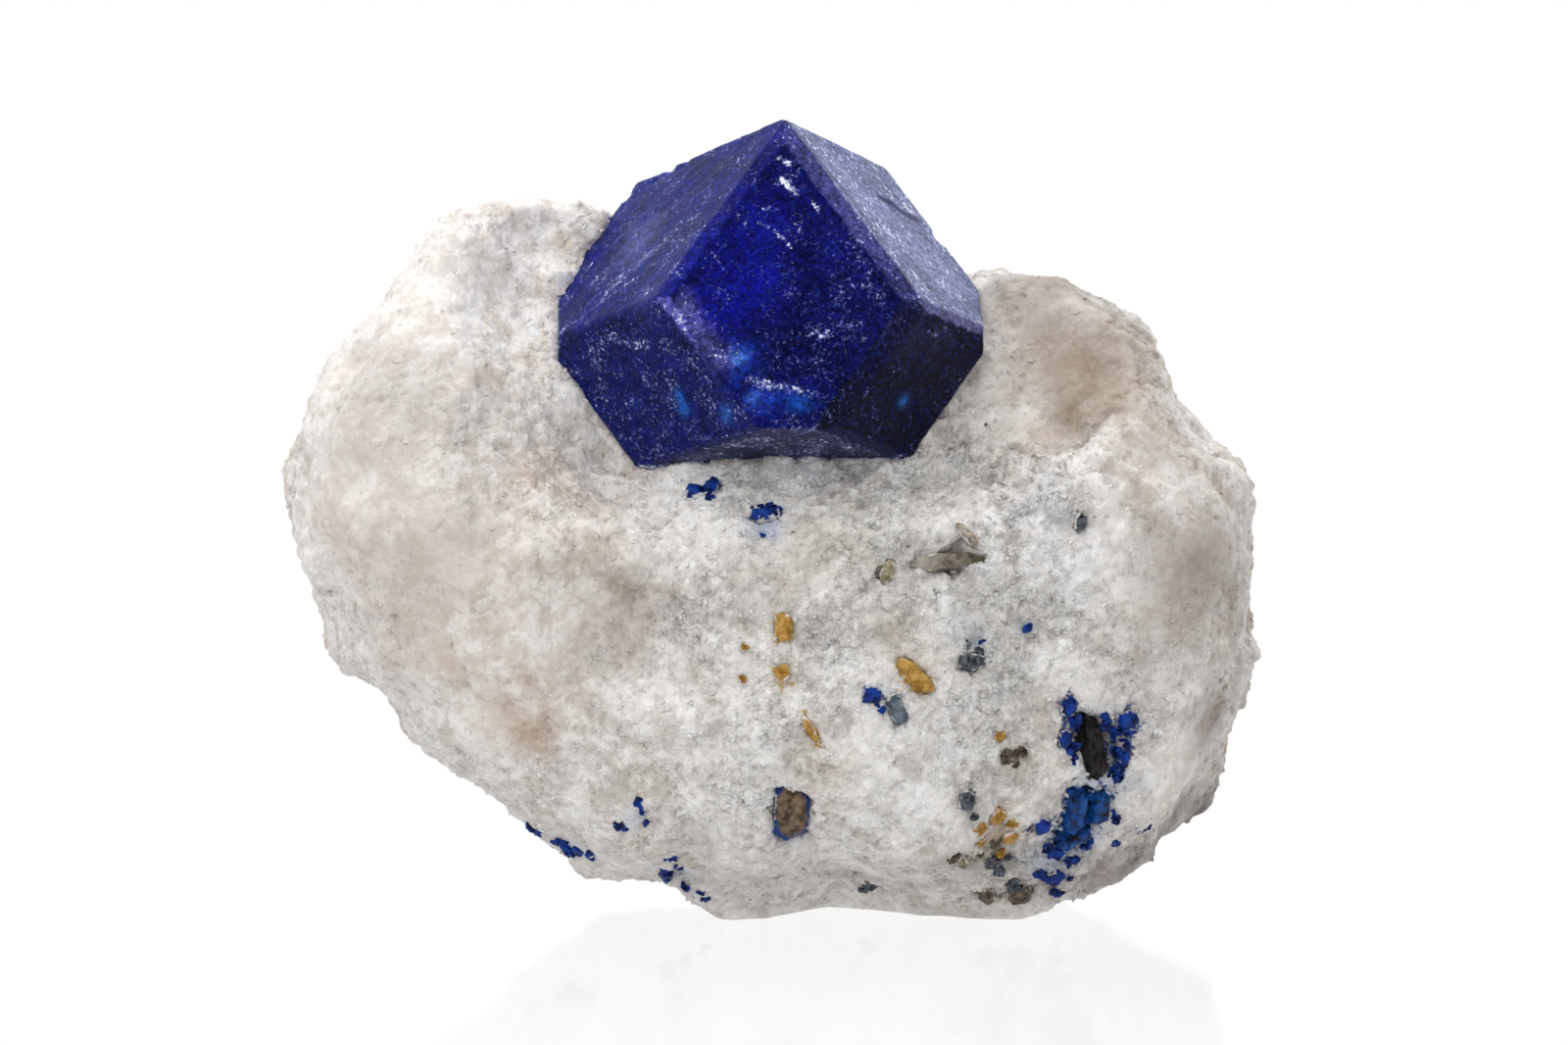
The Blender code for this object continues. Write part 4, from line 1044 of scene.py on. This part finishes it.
def studio():
    """Soft boxes that point at the specimen's middle, and white surroundings that mirror brightly
    only behind it."""
    world = bpy.data.worlds.new("white_surround")
    bpy.context.scene.world = world
    world.use_nodes = True
    tree = world.node_tree
    tree.nodes.clear()
    ray = add_node(tree, "ShaderNodeLightPath", out=None).outputs
    place = add_node(tree, "ShaderNodeTexCoord", out="Generated")
    apart = add_node(tree, "ShaderNodeSeparateXYZ", {0: place}, None).outputs
    mirrored = spread(tree, apart["Y"], -0.1, 0.4, 0.06, 1.0)
    matt = spread(tree, apart["Z"], -0.4, 0.7, 0.5, 0.95)
    lit = blend(tree, ray["Is Glossy Ray"], matt, mirrored, "FLOAT")
    strength = maths(tree, "MAXIMUM", lit, ray["Is Camera Ray"])
    surround = add_node(tree, "ShaderNodeBackground", {
        "Color": (1.0, 1.0, 1.0, 1.0), "Strength": strength})
    add_node(tree, "ShaderNodeOutputWorld", {"Surface": surround}, None)
    for name, (spot, size, power, shine) in SOFT_BOXES.items():
        data = bpy.data.lights.new(name, "AREA")
        data.shape = "RECTANGLE"
        data.size, data.size_y = size
        data.energy = power
        lamp = add_object(name, data)
        lamp.location = spot
        lamp.rotation_euler = (AIM - Vector(spot)).to_track_quat("-Z", "Y").to_euler()
        lamp.visible_glossy = shine


def camera():
    """The photograph's camera."""
    data = bpy.data.cameras.new("camera")
    data.sensor_width = SENSOR_WIDTH
    data.lens = SENSOR_WIDTH * CAMERA_DISTANCE / (IMAGE_SIZE[0] * PIXEL)
    data.clip_start = 0.01
    data.clip_end = 20.0
    eye, line = sight(IMAGE_SIZE[0] / 2, IMAGE_SIZE[1] / 2)
    obj = add_object("camera", data)
    obj.location = eye
    obj.rotation_euler = line.to_track_quat("-Z", "Y").to_euler()
    bpy.context.scene.camera = obj
    bpy.context.scene.view_settings.view_transform = "Standard"


camera()
studio()
studio_floor()

trees = {name: search_tree(name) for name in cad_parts}
marble_tree = trees.pop("marble_matrix")
crystal_tree = trees["lazurite_crystal"]

crystal = large_crystal(crystal_tree, marble_tree)
give(crystal, ["lazurite_crystal"], lazurite_face_material(crystal_tree))

marble_finish = marble_material("broken_calcite_marble", 0.45, 0.35)
marble = marble_body(marble_tree, trees)
give(marble, ["marble_matrix"], marble_finish)
strewing = grain_tree(marble_material("cleaved_calcite_grains", 0.4, 0.3))
for side in GRAIN_SETS:
    marble_grains(marble, strewing, side)

finishes = {name: mineral_material(*row) for name, row in MINERALS.items()}
for node in sorted(trees):
    if node != "lazurite_crystal":
        small_crystal(node, by_name(finishes, node), marble_tree)
for name in SPECKS:
    speck_piece(name, marble_tree, by_name(finishes, name))
